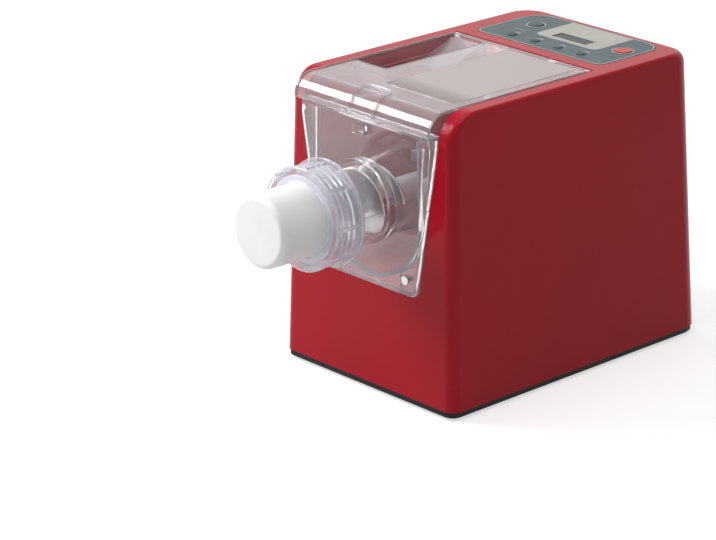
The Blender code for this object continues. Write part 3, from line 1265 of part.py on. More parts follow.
def build_motor():
    """Motor body with its shaft, cooling fan and the cradle on the base plate."""
    bell = MOTOR_BELL
    profile = ((MOTOR_SHAFT_R + GAP, -MOTOR_Y), (MOTOR_BELL_R, -MOTOR_Y), (MOTOR_BELL_R, -MOTOR_Y - bell),
               (MOTOR_R, -MOTOR_Y - bell), (MOTOR_R, -MOTOR_REAR_Y + bell), (MOTOR_BELL_R, -MOTOR_REAR_Y + bell),
               (MOTOR_BELL_R - 2.0 * LAP, -MOTOR_REAR_Y), (MOTOR_SHAFT_R + GAP, -MOTOR_REAR_Y))
    add_part("motor_body", turned("motor_body", profile, RING_SEGMENTS, axis_z=MOTOR_Z), "motor_grey")
    fan_y = MOTOR_REAR_Y + FAN_GAP
    shaft_front = IDLER_GEAR_Y - GEAR_SPACING
    shaft = rod("motor_shaft", MOTOR_SHAFT_R, (0.0, shaft_front, MOTOR_Z),
                (0.0, fan_y + FAN_LENGTH + LAP, MOTOR_Z), segments=16)
    add_part("motor_shaft", shaft, "steel", (0.0, fan_y, MOTOR_Z))
    hub = rod("motor_fan", FAN_HUB_R, (0.0, fan_y, MOTOR_Z), (0.0, fan_y + FAN_LENGTH, MOTOR_Z))
    fan = add_part("motor_fan", hub, "black_plastic", (0.0, fan_y, MOTOR_Z))
    for i in range(FAN_BLADES):
        half = FAN_LENGTH / 2.0 - LAP
        blade = box("blade", (FAN_HUB_R - 2.0 * LAP, -half, -FAN_BLADE / 2.0), (FAN_R, half, FAN_BLADE / 2.0))
        blade.transform(Matrix.Translation((0.0, fan_y + FAN_LENGTH / 2.0, MOTOR_Z))
                        @ Matrix.Rotation(2.0 * pi * i / FAN_BLADES, 4, 'Y')
                        @ Matrix.Rotation(FAN_PITCH, 4, 'X'))
        fuse(fan, add_cutter(f"fan_blade_{i}", blade))
    cut(fan, along_y("fan_bore", MOTOR_SHAFT_R + GAP, 0.0, MOTOR_Z, fan_y - LAP, fan_y + FAN_LENGTH + LAP, 16))
    low_y = MOTOR_Y + CRADLE_SETBACK
    top = FLOOR_Z + GAP + (MOTOR_Z - FLOOR_Z) * CRADLE_TOP_SHARE
    block = box("motor_cradle", (-CRADLE_HALF, low_y, FLOOR_Z + GAP), (CRADLE_HALF, low_y + CRADLE_LENGTH, top))
    cradle = add_part("motor_cradle", block, "steel")
    web = CRADLE_WEB_SHARE * (MOTOR_Z - MOTOR_R - FLOOR_Z)
    window = box("cradle_window", (-CRADLE_HALF + CRADLE_WINDOW, low_y - OVERRUN, FLOOR_Z + web),
                 (CRADLE_HALF - CRADLE_WINDOW, low_y + CRADLE_LENGTH + OVERRUN, MOTOR_Z - MOTOR_R - web))
    cut(cradle, along_y("cradle_seat", MOTOR_R + GAP, 0.0, MOTOR_Z, low_y - OVERRUN,
                        low_y + CRADLE_LENGTH + OVERRUN, RING_SEGMENTS), add_cutter("cradle_window", window))


def build_boards():
    """Power board under the trough, and the control board under the panel."""
    board_z = FLOOR_Z + POWER_STANDOFF
    plate = box("power_board", (-POWER_HALF, POWER_FRONT_Y, board_z),
                (POWER_HALF, POWER_REAR_Y, board_z + BOARD_THICKNESS))
    power = add_part("power_board", plate, "board_green")
    for side in (-1.0, 1.0):
        for y in (POWER_FRONT_Y + 2.0 * POWER_STANDOFF_R, POWER_REAR_Y - 2.0 * POWER_STANDOFF_R):
            x = side * (POWER_HALF - 2.0 * POWER_STANDOFF_R)
            post = rod("standoff", POWER_STANDOFF_R, (x, y, FLOOR_Z + GAP), (x, y, board_z + BOARD_THICKNESS / 2.0),
                       segments=SCREW_SEGMENTS)
            fuse(power, add_cutter(f"standoff_{len(power.modifiers)}", post))
    low = Vector((-POWER_HALF + CAPACITOR_R, POWER_FRONT_Y + CAPACITOR_R, board_z + BOARD_THICKNESS / 2.0))
    fuse(power, add_cutter("transformer", box("transformer", low, low + Vector(TRANSFORMER_SIZE))))
    for i in range(2):
        y = POWER_REAR_Y - 2.0 * CAPACITOR_R - i * 3.0 * CAPACITOR_R
        tank = rod("capacitor", CAPACITOR_R, (0.0, y, low.z), (0.0, y, low.z + CAPACITOR_HEIGHT), segments=12)
        fuse(power, add_cutter(f"capacitor_{i}", tank))
    plate = box("control_board", (-PANEL_HALF + BOARD_MARGIN, PANEL_FRONT_Y + BOARD_MARGIN, BOARD_Z),
                (PANEL_HALF - BOARD_MARGIN, PANEL_REAR_Y - 2.0 * BOARD_MARGIN, BOARD_Z + BOARD_THICKNESS))
    control = add_part("control_board", plate, "board_green")
    for side in (-1.0, 1.0):
        for y in (PANEL_FRONT_Y + 2.0 * BOARD_MARGIN, PANEL_REAR_Y - 3.0 * BOARD_MARGIN):
            x = side * (PANEL_HALF - 2.0 * BOARD_MARGIN)
            post = rod("board_post", BOARD_POST_R, (x, y, BOARD_Z + BOARD_THICKNESS / 2.0),
                       (x, y, BODY_HEIGHT - WALL - GAP), segments=SCREW_SEGMENTS)
            fuse(control, add_cutter(f"board_post_{len(control.modifiers)}", post))


def build_panel():
    """Panel overlay, display glass and module, and the six sprung buttons."""
    overlay = extruded("panel_overlay", [panel_outline(0.0)], PANEL_Z, PANEL_Z + PANEL_THICKNESS, "Z")
    panel = add_part("panel_overlay", overlay, "slate")
    cut(panel, display_cutter(), *button_cutters())
    glass_top = PANEL_Z + PANEL_THICKNESS - GAP
    glass = display_box("display_window", 0.0, glass_top - DISPLAY_GLASS, glass_top)
    add_part("display_window", glass, "display")
    module_top = min(glass_top - DISPLAY_GLASS, BODY_HEIGHT - WALL) - GAP
    module = display_box("display_module", MODULE_MARGIN, BOARD_Z + BOARD_THICKNESS + GAP, module_top)
    add_part("display_module", module, "black_plastic")
    for name, radius, x, y in button_places():
        top = PANEL_Z + PANEL_THICKNESS + BUTTON_PROUD
        rim_top = BODY_HEIGHT - WALL - GAP
        rim_low = rim_top - BUTTON_RIM_THICKNESS
        stem_low = BOARD_Z + BOARD_THICKNESS + BUTTON_TRAVEL + GAP
        profile = ((0.0, top), (radius - LAP / 2.0, top), (radius, top - LAP / 3.0), (radius, rim_top),
                   (radius + BUTTON_RIM, rim_top), (radius + BUTTON_RIM, rim_low), (BUTTON_STEM_R, rim_low),
                   (BUTTON_STEM_R, stem_low), (0.0, stem_low))
        mesh = lathe_mesh(name, profile, button_segments(radius), closed=False)
        button = add_part(name, mesh, "start_red" if name == "start_button" else "key_grey")
        button.location = (x, y, 0.0)


def lid_front_arc(grow):
    """The rounded front of the lid as (y, z), grown by so much."""
    centre = (LID_FRONT_Y + LID_FRONT_R, BODY_HEIGHT - LID_FRONT_R)
    return arc(centre, LID_FRONT_R + grow, pi, pi / 2.0, ARC_STEPS)


def lid_profile():
    """The lid's side outline as (y, z): flat top, rounded front, skirt and hinge barrel."""
    low = PLATE_TOP_Z + FIT
    barrel = arc((HINGE_Y, HINGE_Z), BARREL_R, pi / 2.0, -pi / 3.0, 2 * CORNER_STEPS)
    skirt_y = LID_FRONT_Y + LID_FRONT_SKIRT_DEPTH
    return lid_front_arc(0.0) + barrel + [
        (HINGE_Y, LID_SKIRT_Z), (skirt_y + LID_SKIRT_Z - low, LID_SKIRT_Z), (skirt_y, low), (LID_FRONT_Y, low)]


def lid_hollow_profile():
    """What is cut out of the lid's block, as (y, z)."""
    rear = HINGE_Y - LID_REAR_BAR
    low = PLATE_TOP_Z - OVERRUN
    return lid_front_arc(-LID_WALL) + [(rear, BODY_HEIGHT - LID_WALL), (rear, low), (LID_FRONT_Y + LID_WALL, low)]


def lid_strip(name, grow, low_z, rear_y, low_x, high_x):
    """A raised strip along the lid's top and front, half sunk in its wall."""
    sunk = LID_WALL / 2.0
    outline = [(LID_FRONT_Y - grow, low_z)] + lid_front_arc(grow)
    outline += [(rear_y, BODY_HEIGHT + grow), (rear_y, BODY_HEIGHT - sunk)]
    outline += list(reversed(lid_front_arc(-sunk))) + [(LID_FRONT_Y + sunk, low_z)]
    return add_cutter(name, extruded(name, [outline], low_x, high_x, "X"))


def build_lid():
    """Clear lid: shell, rims, pour slot with its chute and ramp, pull tab and insert seat."""
    block = extruded("lid", [lid_profile()], -LID_HALF, LID_HALF, "X")
    lid = add_part("lid", block, "clear", (0.0, HINGE_Y, HINGE_Z))
    inner_half = LID_HALF - LID_WALL
    hollow = extruded("lid_hollow", [lid_hollow_profile()], -inner_half, inner_half, "X")
    cut(lid, add_cutter("lid_hollow", hollow))
    for side, hand in ((-1.0, "left"), (1.0, "right")):
        low_x, high_x = sorted((side * (inner_half + GAP), side * (LID_HALF - GAP)))
        fuse(lid, lid_strip(f"lid_rim_{hand}", LID_RIM_HEIGHT, PLATE_TOP_Z + FIT + LAP,
                            HINGE_Y - 2.0 * BARREL_R, low_x, high_x))
    slot_left = LAP / 2.0 - inner_half
    slot_right = slot_left + SLOT_WIDTH
    chute = box("chute", (slot_left - LAP, SLOT_FRONT_Y - CHUTE_WALL, BODY_HEIGHT - CHUTE_DEPTH),
                (slot_right + CHUTE_WALL, SLOT_REAR_Y + CHUTE_WALL, BODY_HEIGHT - LID_WALL / 2.0))
    slot = box("slot", (slot_left, SLOT_FRONT_Y, BODY_HEIGHT - CHUTE_DEPTH - OVERRUN),
               (slot_right, SLOT_REAR_Y, BODY_HEIGHT + OVERRUN))
    fuse(lid, add_cutter("chute", chute))
    cut(lid, add_cutter("slot", slot))
    fuse(lid, add_cutter("chute_ramp", ramp_mesh(slot_left - LAP / 2.0, slot_right + LAP)), *tab_tools())
    seat = extruded("insert_seat", [insert_outline(GAP)], BODY_HEIGHT - INSERT_THICKNESS - GAP,
                    BODY_HEIGHT + OVERRUN, "Z")
    cut(lid, add_cutter("insert_seat", seat))
    insert = extruded("lid_insert", [insert_outline(0.0)], BODY_HEIGHT - INSERT_THICKNESS, BODY_HEIGHT, "Z")
    add_part("lid_insert", insert, "frosted", (0.0, HINGE_Y, HINGE_Z))
    for side, hand in ((-1.0, "left"), (1.0, "right")):
        inner = side * (OPENING_TOP_HALF + PIN_SEAT - PIN_LENGTH)
        bore = rod("pin_bore", PIN_R + GAP, (inner - side * GAP, HINGE_Y, HINGE_Z),
                   (side * (LID_HALF + OVERRUN), HINGE_Y, HINGE_Z), segments=SCREW_SEGMENTS)
        cut(lid, add_cutter(f"pin_bore_{hand}", bore))
        pin = rod("hinge_pin", PIN_R, (inner, HINGE_Y, HINGE_Z),
                  (side * (OPENING_TOP_HALF + PIN_SEAT), HINGE_Y, HINGE_Z), segments=SCREW_SEGMENTS)
        add_part(f"hinge_pin_{hand}", pin, "steel")


def insert_outline(grow):
    radii = [INSERT_CORNER_R] * 4
    return rectangle((INSERT_LEFT_X - grow, INSERT_FRONT_Y - grow),
                     (INSERT_RIGHT_X + grow, SLOT_REAR_Y + grow), radii)


def ramp_mesh(low_x, high_x):
    """The sloping rear floor of the chute."""
    high_z = BODY_HEIGHT - LID_WALL / 2.0
    low_z = BODY_HEIGHT - CHUTE_DEPTH + CHUTE_WALL + LAP / 2.0
    outline = [(RAMP_FRONT_Y, low_z), (RAMP_FRONT_Y, low_z - CHUTE_WALL),
               (SLOT_REAR_Y + LAP, high_z - CHUTE_WALL), (SLOT_REAR_Y + LAP, high_z)]
    return extruded("chute_ramp", [outline], low_x, high_x, "X")


def tab_tools():
    """The raised loop and the finger lip at the front of the lid."""
    rear = LID_FRONT_Y + TAB_REAR_SETBACK
    front = LID_FRONT_Y - OVERRUN
    loop = lid_strip("tab_loop", TAB_HEIGHT, PLATE_TOP_Z + FIT + LAP, rear + OVERRUN, -TAB_HALF - LAP,
                     TAB_HALF + LAP)
    low_z, high_z = PLATE_TOP_Z - OVERRUN, BODY_HEIGHT + OVERRUN
    outer = rectangle((-TAB_HALF, front), (TAB_HALF, rear), (0.0, 0.0, TAB_CORNER_R, TAB_CORNER_R))
    trim(loop, add_cutter("tab_plan", extruded("tab_plan", [outer], low_z, high_z, "Z")))
    inner_r = TAB_CORNER_R - TAB_RIDGE
    inner = rectangle((-TAB_HALF + TAB_RIDGE, front - LAP), (TAB_HALF - TAB_RIDGE, rear - TAB_RIDGE),
                      (0.0, 0.0, inner_r, inner_r))
    cut(loop, add_cutter("tab_hollow", extruded("tab_hollow", [inner], low_z - LAP, high_z + LAP, "Z")))
    low = PLATE_TOP_Z + FIT / 2.0
    lip = box("finger_lip", (-LIP_HALF, LID_FRONT_Y - LIP_REACH, low),
              (LIP_HALF, LID_FRONT_Y + LAP, low + LIP_HEIGHT))
    return loop, add_cutter("finger_lip", lip)


def build_small_fittings():
    """The lid switch behind the bay and the cord gland in the rear wall."""
    front = OPENING_REAR_Y + BAY_WALL + GAP
    top = BODY_HEIGHT - WALL - SWITCH_TOP_DROP
    low_x = SWITCH_X - SWITCH_WIDTH / 2.0
    body = box("lid_switch", (low_x, front, top - SWITCH_HEIGHT), (low_x + SWITCH_WIDTH, front + SWITCH_DEPTH, top))
    switch = add_part("lid_switch", body, "black_plastic")
    key = rod("switch_key", SWITCH_KEY / 2.0, (SWITCH_X, front + SWITCH_DEPTH / 2.0, top - LAP),
              (SWITCH_X, front + SWITCH_DEPTH / 2.0, top + SWITCH_KEY), segments=10)
    fuse(switch, add_cutter("switch_key", key))
    flange_in = -WALL - GAP
    profile = ((GLAND_BORE_R, GLAND_FLANGE + GAP), (GLAND_FLANGE_R - LAP, GLAND_FLANGE + GAP),
               (GLAND_FLANGE_R, GAP), (GLAND_R, GAP), (GLAND_R, flange_in), (GLAND_FLANGE_R, flange_in),
               (GLAND_FLANGE_R, flange_in - GLAND_FLANGE), (GLAND_BORE_R, flange_in - GLAND_FLANGE))
    gland = lathe_mesh("cord_gland", profile, 12, closed=True)
    lean = atan2(REAR_LEAN, BODY_HEIGHT)
    gland.transform(Matrix.Translation(gland_point(0.0)) @ Matrix.Rotation(lean - pi / 2.0, 4, 'X'))
    add_part("cord_gland", gland, "rubber")


def build_machine():
    build_housing()
    build_bay()
    build_base()
    build_base_screws()
    build_chamber()
    build_seals()
    build_front_plate()
    build_plate_screws()
    build_ring_nut()
    build_die()
    build_paddle()
    build_extrusion_screw()
    build_gears()
    build_drive_shaft()
    build_gearbox()
    build_motor()
    build_boards()
    build_panel()
    build_lid()
    build_small_fittings()


build_machine()
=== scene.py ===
"""Looks of the electric pasta maker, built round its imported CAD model.

Metres, +Z up, front towards -Y.
"""
import json
from math import acos, atan2, cos, pi, radians, sin, sqrt, tan

import bmesh
import bpy
from bpy.props import FloatProperty, FloatVectorProperty, IntProperty, PointerProperty
from bpy.types import Operator, Panel, PropertyGroup
from mathutils import Matrix, Vector

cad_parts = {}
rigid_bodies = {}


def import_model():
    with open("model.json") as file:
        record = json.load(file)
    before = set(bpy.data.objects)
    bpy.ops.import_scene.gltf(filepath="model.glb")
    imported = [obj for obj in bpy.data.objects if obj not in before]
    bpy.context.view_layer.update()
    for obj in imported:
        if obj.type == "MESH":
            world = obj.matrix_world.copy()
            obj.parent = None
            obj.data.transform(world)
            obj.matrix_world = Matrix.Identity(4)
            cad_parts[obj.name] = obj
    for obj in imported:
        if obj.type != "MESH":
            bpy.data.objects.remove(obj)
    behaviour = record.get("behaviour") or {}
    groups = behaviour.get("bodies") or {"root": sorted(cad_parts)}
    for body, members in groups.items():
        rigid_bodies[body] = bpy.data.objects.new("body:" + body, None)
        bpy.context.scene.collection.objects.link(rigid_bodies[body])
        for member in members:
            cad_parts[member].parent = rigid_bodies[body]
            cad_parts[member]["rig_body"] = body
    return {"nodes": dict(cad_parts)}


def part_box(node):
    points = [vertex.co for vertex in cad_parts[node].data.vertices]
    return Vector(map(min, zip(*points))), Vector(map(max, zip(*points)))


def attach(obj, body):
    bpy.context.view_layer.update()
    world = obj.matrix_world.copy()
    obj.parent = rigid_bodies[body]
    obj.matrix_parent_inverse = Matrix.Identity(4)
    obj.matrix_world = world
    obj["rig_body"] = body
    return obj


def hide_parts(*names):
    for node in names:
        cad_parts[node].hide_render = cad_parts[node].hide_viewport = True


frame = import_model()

bl_info = {
    "name": "Electric Pasta Maker",
    "version": (1, 0, 0),
    "blender": (4, 5, 0),
    "location": "View3D > Sidebar > Pasta Maker",
    "description": "Builds the visible pieces of a countertop pasta maker round its CAD model",
    "category": "Object",
}

# Places read from the CAD model
SHELL_LOW, SHELL_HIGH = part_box("housing_shell")
DIE_LOW, DIE_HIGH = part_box("pasta_die")
NUT_LOW, NUT_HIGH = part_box("ring_nut")
OVERLAY_LOW, OVERLAY_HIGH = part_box("panel_overlay")
INSERT_LOW, INSERT_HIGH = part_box("lid_insert")
TROUGH_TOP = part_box("mixing_chamber")[1].z
FRONT = SHELL_LOW.y                     # the red front face
TOP = SHELL_HIGH.z
HEM = SHELL_LOW.z                       # lower edge of the red shell
AXIS_Z = (DIE_LOW.z + DIE_HIGH.z) / 2.0
OPENING_REAR = FRONT + 0.204
TUBE_END = FRONT - 0.076
HINGE_Y = OPENING_REAR - 0.0035
HINGE_Z = TOP - 0.0027

# Clearances and allowances shared by all pieces
OVERRUN = 0.01                          # how far a cutter runs past what it cuts
SET_IN_GAP = 0.0003                     # round a piece that is set into the shell
MERGE_REACH = 1e-6                      # points nearer than this are one point

# Sizes of the body's form
BODY_DEPTH = 0.348
BASE_HALF = 0.114
TOP_HALF = 0.105
REAR_LEAN = 0.022
FRONT_CORNER_R = 0.0105
FRONT_CORNER_TOP_R = 0.004
REAR_CORNER_R = 0.022
FRONT_TOP_R = 0.030
REAR_TOP_R = 0.012
SIDE_TOP_R = 0.0035
LEAST_R = 0.0003                        # the sharpest corner of the hollow
BODY_CORNER_STEPS = 8
BODY_ARC_STEPS = 18
BODY_EDGE_STEPS = 5

# Vents and cord gland in the rear wall
VENTS = 6
VENT_HALF = 0.033
VENT_HEIGHT = 0.0035
VENT_PITCH = 0.009
VENT_LOW = 0.075
GLAND_HOLE_R = 0.0063

# The front opening
OPENING_BASE_Z = 0.1075
OPENING_BASE_HALF = 0.067
OPENING_KNEE_Z = 0.256
OPENING_TOP_HALF = 0.0885
OPENING_CORNER_R = 0.011

# Front plate and lid
SEAT_GAP = 0.0008
PLATE_TOP_Z = 0.268
PLATE_BASE_REACH = 0.0008
PLATE_TOP_REACH = 0.0107
PLATE_BASE_TAPER = 0.0015
PLATE_TOP_TAPER = 0.0090
LID_REACH = 0.011
LID_FRONT_R = 0.019
LID_FRONT = FRONT - LID_REACH
SIDE_FLANGE_DROP = 0.014                # how far the lid's sides hang below its top
SLOT_WIDTH = 0.040
SLOT_FRONT = FRONT + 0.064
SLOT_REAR = OPENING_REAR - 0.010
CHUTE_DROP = 0.0215
RAMP_LENGTH = 0.052
RAMP_WALL = 0.002
FIELD_EXTRA = 0.009                     # the frosted field reaches this far past the CAD one
FIELD_CORNER_R = 0.005
FIELD_FADE = 0.030

# Control panel
PANEL_FRONT_R = 0.010
PANEL_REAR_R = 0.022
PRINT_SUNK = 0.0001                     # how far the print reaches into the overlay
PRINT_HEIGHT = 0.00008
PRINT_EDGE = 0.0012                     # bare rim outside the printed outline
PRINT_LINE = 0.0011
BUTTON_RIM = 0.0012

# Tube, ring nut, gasket and die, round the extruder's axis
TUBE_R = 0.038
BORE_R = 0.0335
COLLAR = FRONT - 0.011
COLLAR_R = 0.0405
GASKET_INNER_R = 0.070
GASKET_OUTER_R = 0.0735
PLATE_REAR = FRONT + 0.0045
PLATE_SCREW_X = 0.053
PLATE_SCREW_Z = 0.124
LUG_LENGTH = 0.004
LUG_ANGLE = 40.0
NUT_LIP_R = 0.0360
NUT_LIP = 0.0040
NUT_RIM = 0.0045
NUT_RIM_R = 0.0490
NUT_BODY_R = 0.0462
NUT_RIB_R = 0.0482
NUT_REAR_R = 0.0510
NUT_BORE_R = 0.0413
NUT_RIBS = 3
NUT_GRIPS = 8
DIE_R = 0.0345
DIE_FLANGE_R = 0.0405
DIE_FLANGE = 0.0045
DIE_BORE_R = 0.029
DIE_FLOOR = 0.006
DIE_HOLE_PITCH = 0.0066

# Extrusion screw
FLIGHT_R = 0.0328
FLIGHT_THICKNESS = 0.0035
FLIGHT_PITCH = 0.029
FLIGHT_TURNS = 3
CORE_REAR_R = 0.010
CORE_FRONT_R = 0.016
PEG_R = 0.0065
PEG_LENGTH = 0.016

# Camera and light
CAMERA_PLACE = (1.90926, -1.942835, 1.10357)
CAMERA_ANGLES = (46.29, 20.39, 0.498)   # azimuth, elevation and roll in degrees
CAMERA_LENS = 153.72
WORLD_LEVEL = 0.42                      # light of the world on the object
FLOOR_TONE = 0.58
AIM = (0.0, 0.0, 0.17)


class PastaMakerSizes(PropertyGroup):
    wall: FloatProperty(
        name="Shell Wall", description="Thickness of the red shell",
        default=0.003, min=0.001, max=0.006, unit='LENGTH')
    edge_round: FloatProperty(
        name="Edge Rounding", description="Rounding of moulded edges",
        default=0.0006, min=0.0, max=0.002, unit='LENGTH')
    lid_wall: FloatProperty(
        name="Lid Wall", description="Thickness of the lid",
        default=0.0025, min=0.001, max=0.004, unit='LENGTH')
    plate_wall: FloatProperty(
        name="Front Plate Wall", description="Thickness of the front plate",
        default=0.003, min=0.001, max=0.005, unit='LENGTH')
    round_steps: IntProperty(
        name="Round Steps", description="Steps in a quarter of a large rounding",
        default=12, min=4, max=32)
    turn_steps: IntProperty(
        name="Turn Steps", description="Steps in the full turn of a round piece",
        default=96, min=24, max=192)
    softbox_size: FloatProperty(
        name="Softbox Size", description="Side of the main soft light",
        default=0.9, min=0.2, max=4.0, unit='LENGTH')


class PastaMakerColours(PropertyGroup):
    housing: FloatVectorProperty(
        name="Housing", description="Red paint of the housing",
        default=(0.36, 0.002, 0.012), size=3, min=0.0, max=1.0, subtype='COLOR')
    clear: FloatVectorProperty(
        name="Clear Plastic", description="Tint of the clear lid, front plate, chamber and nut",
        default=(0.93, 0.92, 0.93), size=3, min=0.0, max=1.0, subtype='COLOR')
    frosted: FloatVectorProperty(
        name="Frosted Plastic", description="Frosted field of the lid",
        default=(0.44, 0.385, 0.38), size=3, min=0.0, max=1.0, subtype='COLOR')
    die: FloatVectorProperty(
        name="Die", description="White plastic of the pasta die",
        default=(0.84, 0.84, 0.84), size=3, min=0.0, max=1.0, subtype='COLOR')
    overlay: FloatVectorProperty(
        name="Panel Field", description="Slate field of the control panel",
        default=(0.055, 0.085, 0.095), size=3, min=0.0, max=1.0, subtype='COLOR')
    print_pale: FloatVectorProperty(
        name="Panel Print", description="Pale print of the control panel",
        default=(0.37, 0.365, 0.325), size=3, min=0.0, max=1.0, subtype='COLOR')
    start: FloatVectorProperty(
        name="Start Button", description="Red of the start button",
        default=(0.46, 0.055, 0.045), size=3, min=0.0, max=1.0, subtype='COLOR')


def sizes():
    return bpy.context.scene.pasta_maker_sizes


def colours():
    return bpy.context.scene.pasta_maker_colours


# ---------------------------------------------------------------- materials

def new_material(name):
    """A node material with its Principled shader, node tree and a coordinate node."""
    material = bpy.data.materials.new("look_" + name)
    material.use_nodes = True
    tree = material.node_tree
    shader = tree.nodes["Principled BSDF"]
    coordinates = tree.nodes.new("ShaderNodeTexCoord")
    return material, tree, shader, coordinates


def noise(tree, coordinates, scale, detail=3.0, stretch=(1.0, 1.0, 1.0)):
    """A noise pattern on Object coordinates, stretched along the axes."""
    mapping = tree.nodes.new("ShaderNodeMapping")
    mapping.inputs["Scale"].default_value = stretch
    pattern = tree.nodes.new("ShaderNodeTexNoise")
    pattern.inputs["Scale"].default_value = scale
    pattern.inputs["Detail"].default_value = detail
    tree.links.new(coordinates.outputs["Object"], mapping.inputs["Vector"])
    tree.links.new(mapping.outputs["Vector"], pattern.inputs["Vector"])
    return pattern.outputs["Fac"]


def spread(tree, source, low, high):
    """Map a pattern's 0 to 1 onto a range."""
    node = tree.nodes.new("ShaderNodeMapRange")
    node.inputs["From Min"].default_value = 0.3
    node.inputs["From Max"].default_value = 0.7
    node.inputs["To Min"].default_value = low
    node.inputs["To Max"].default_value = high
    tree.links.new(source, node.inputs["Value"])
    return node.outputs["Result"]


def two_tones(tree, source, first, second):
    """Blend two near colours by a pattern."""
    ramp = tree.nodes.new("ShaderNodeValToRGB")
    ramp.color_ramp.elements[0].position = 0.35
    ramp.color_ramp.elements[1].position = 0.65
    ramp.color_ramp.elements[0].color = (*first, 1.0)
    ramp.color_ramp.elements[1].color = (*second, 1.0)
    tree.links.new(source, ramp.inputs["Fac"])
    return ramp.outputs["Color"]


def bump(tree, source, strength, distance):
    """A small relief from a pattern."""
    node = tree.nodes.new("ShaderNodeBump")
    node.inputs["Strength"].default_value = strength
    node.inputs["Distance"].default_value = distance
    tree.links.new(source, node.inputs["Height"])
    return node.outputs["Normal"]


def shaded(colour, factor):
    return tuple(max(0.0, min(1.0, part * factor)) for part in colour)


def moulded(name, colour, roughness=0.4, contrast=0.06, grain=1400.0, depth=0.00003,
            metallic=0.0, cloud=40.0, stretch=(1.0, 1.0, 1.0), specular=0.5):
    """Moulded, painted or machined surface: faint tone changes, a fine grain and uneven gloss."""
    known = bpy.data.materials.get("look_" + name)
    if known:
        return known
    material, tree, shader, coordinates = new_material(name)
    clouds = noise(tree, coordinates, cloud)
    tones = two_tones(tree, clouds, shaded(colour, 1.0 - contrast), shaded(colour, 1.0 + contrast))
    tree.links.new(tones, shader.inputs["Base Color"])
    gloss = noise(tree, coordinates, cloud * 2.3, 4.0, stretch)
    tree.links.new(spread(tree, gloss, roughness * 0.88, roughness * 1.12),
                   shader.inputs["Roughness"])
    fine = noise(tree, coordinates, grain, 2.0, stretch)
    tree.links.new(bump(tree, fine, 0.35, depth), shader.inputs["Normal"])
    shader.inputs["Metallic"].default_value = metallic
    shader.inputs["Specular IOR Level"].default_value = specular
    material.diffuse_color = (*colour, 1.0)
    return material


def brushed_steel():
    return moulded("brushed_steel", (0.58, 0.58, 0.59), 0.28, 0.05, 1200.0, metallic=1.0,
                   cloud=80.0, stretch=(1.0, 12.0, 1.0))


def black_plastic():
    return moulded("black_plastic", (0.008, 0.008, 0.009), 0.5, 0.15, 900.0, 0.00006, specular=0.2)


def rubber():
    return moulded("foot_rubber", (0.022, 0.022, 0.023), 0.85, 0.2, 700.0, 0.00008)


def housing_paint():
    """Deep red lacquer: a coloured ground with a faint flake under a thin clear coat."""
    colour = tuple(colours().housing)
    material, tree, shader, coordinates = new_material("housing_paint")
    clouds = noise(tree, coordinates, 9.0, 2.0)
    tree.links.new(two_tones(tree, clouds, shaded(colour, 0.98), shaded(colour, 1.02)),
                   shader.inputs["Base Color"])
    flake = noise(tree, coordinates, 2600.0, 1.0)
    tree.links.new(spread(tree, flake, 0.34, 0.44), shader.inputs["Roughness"])
    peel = noise(tree, coordinates, 200.0, 2.0)
    tree.links.new(bump(tree, peel, 0.05, 0.00003), shader.inputs["Coat Normal"])
    shader.inputs["Specular IOR Level"].default_value = 0.04
    shader.inputs["Coat Weight"].default_value = 0.65
    shader.inputs["Coat IOR"].default_value = 1.24
    shader.inputs["Coat Roughness"].default_value = 0.05
    material.diffuse_color = (*colour, 1.0)
    return material


def any_ray(tree, *kinds):
    """1 for a ray of any of these kinds."""
    path = tree.nodes.new("ShaderNodeLightPath")
    reached = path.outputs[kinds[0]]
    for kind in kinds[1:]:
        either = tree.nodes.new("ShaderNodeMath")
        either.operation = 'MAXIMUM'
        tree.links.new(reached, either.inputs[0])
        tree.links.new(path.outputs[kind], either.inputs[1])
        reached = either.outputs["Value"]
    return reached


def seen_white(tree):
    """1 for the camera, for mirrors and for what is seen through clear plastic."""
    return any_ray(tree, "Is Camera Ray", "Is Glossy Ray", "Is Transmission Ray")


def mix_surface(tree, share, first, second, output="Material Output"):
    """Mix two shaders into the surface by a share of the second."""
    mix = tree.nodes.new("ShaderNodeMixShader")
    tree.links.new(share, mix.inputs["Fac"])
    tree.links.new(first, mix.inputs[1])
    tree.links.new(second, mix.inputs[2])
    tree.links.new(mix.outputs["Shader"], tree.nodes[output].inputs["Surface"])


def clear_plastic(name, haze, film, tint=None):
    """Clear moulded plastic with faint flow marks; film is the share of dull haze on it."""
    tint = tuple(tint or colours().clear)
    material, tree, shader, coordinates = new_material(name)
    shader.inputs["Base Color"].default_value = (*tint, 1.0)
    shader.inputs["Transmission Weight"].default_value = 1.0 - film
    shader.inputs["IOR"].default_value = 1.45
    flow = noise(tree, coordinates, 60.0, 3.0, (1.0, 1.0, 0.35))
    tree.links.new(spread(tree, flow, haze * 0.7, haze * 1.5), shader.inputs["Roughness"])
    tree.links.new(bump(tree, flow, 0.10, 0.00015), shader.inputs["Normal"])
    open_to_light = tree.nodes.new("ShaderNodeBsdfTransparent")
    open_to_light.inputs["Color"].default_value = (*tint, 1.0)
    mix_surface(tree, any_ray(tree, "Is Shadow Ray", "Is Diffuse Ray"), shader.outputs["BSDF"],
                open_to_light.outputs["BSDF"])
    material.diffuse_color = (*tint, 0.35)
    return material


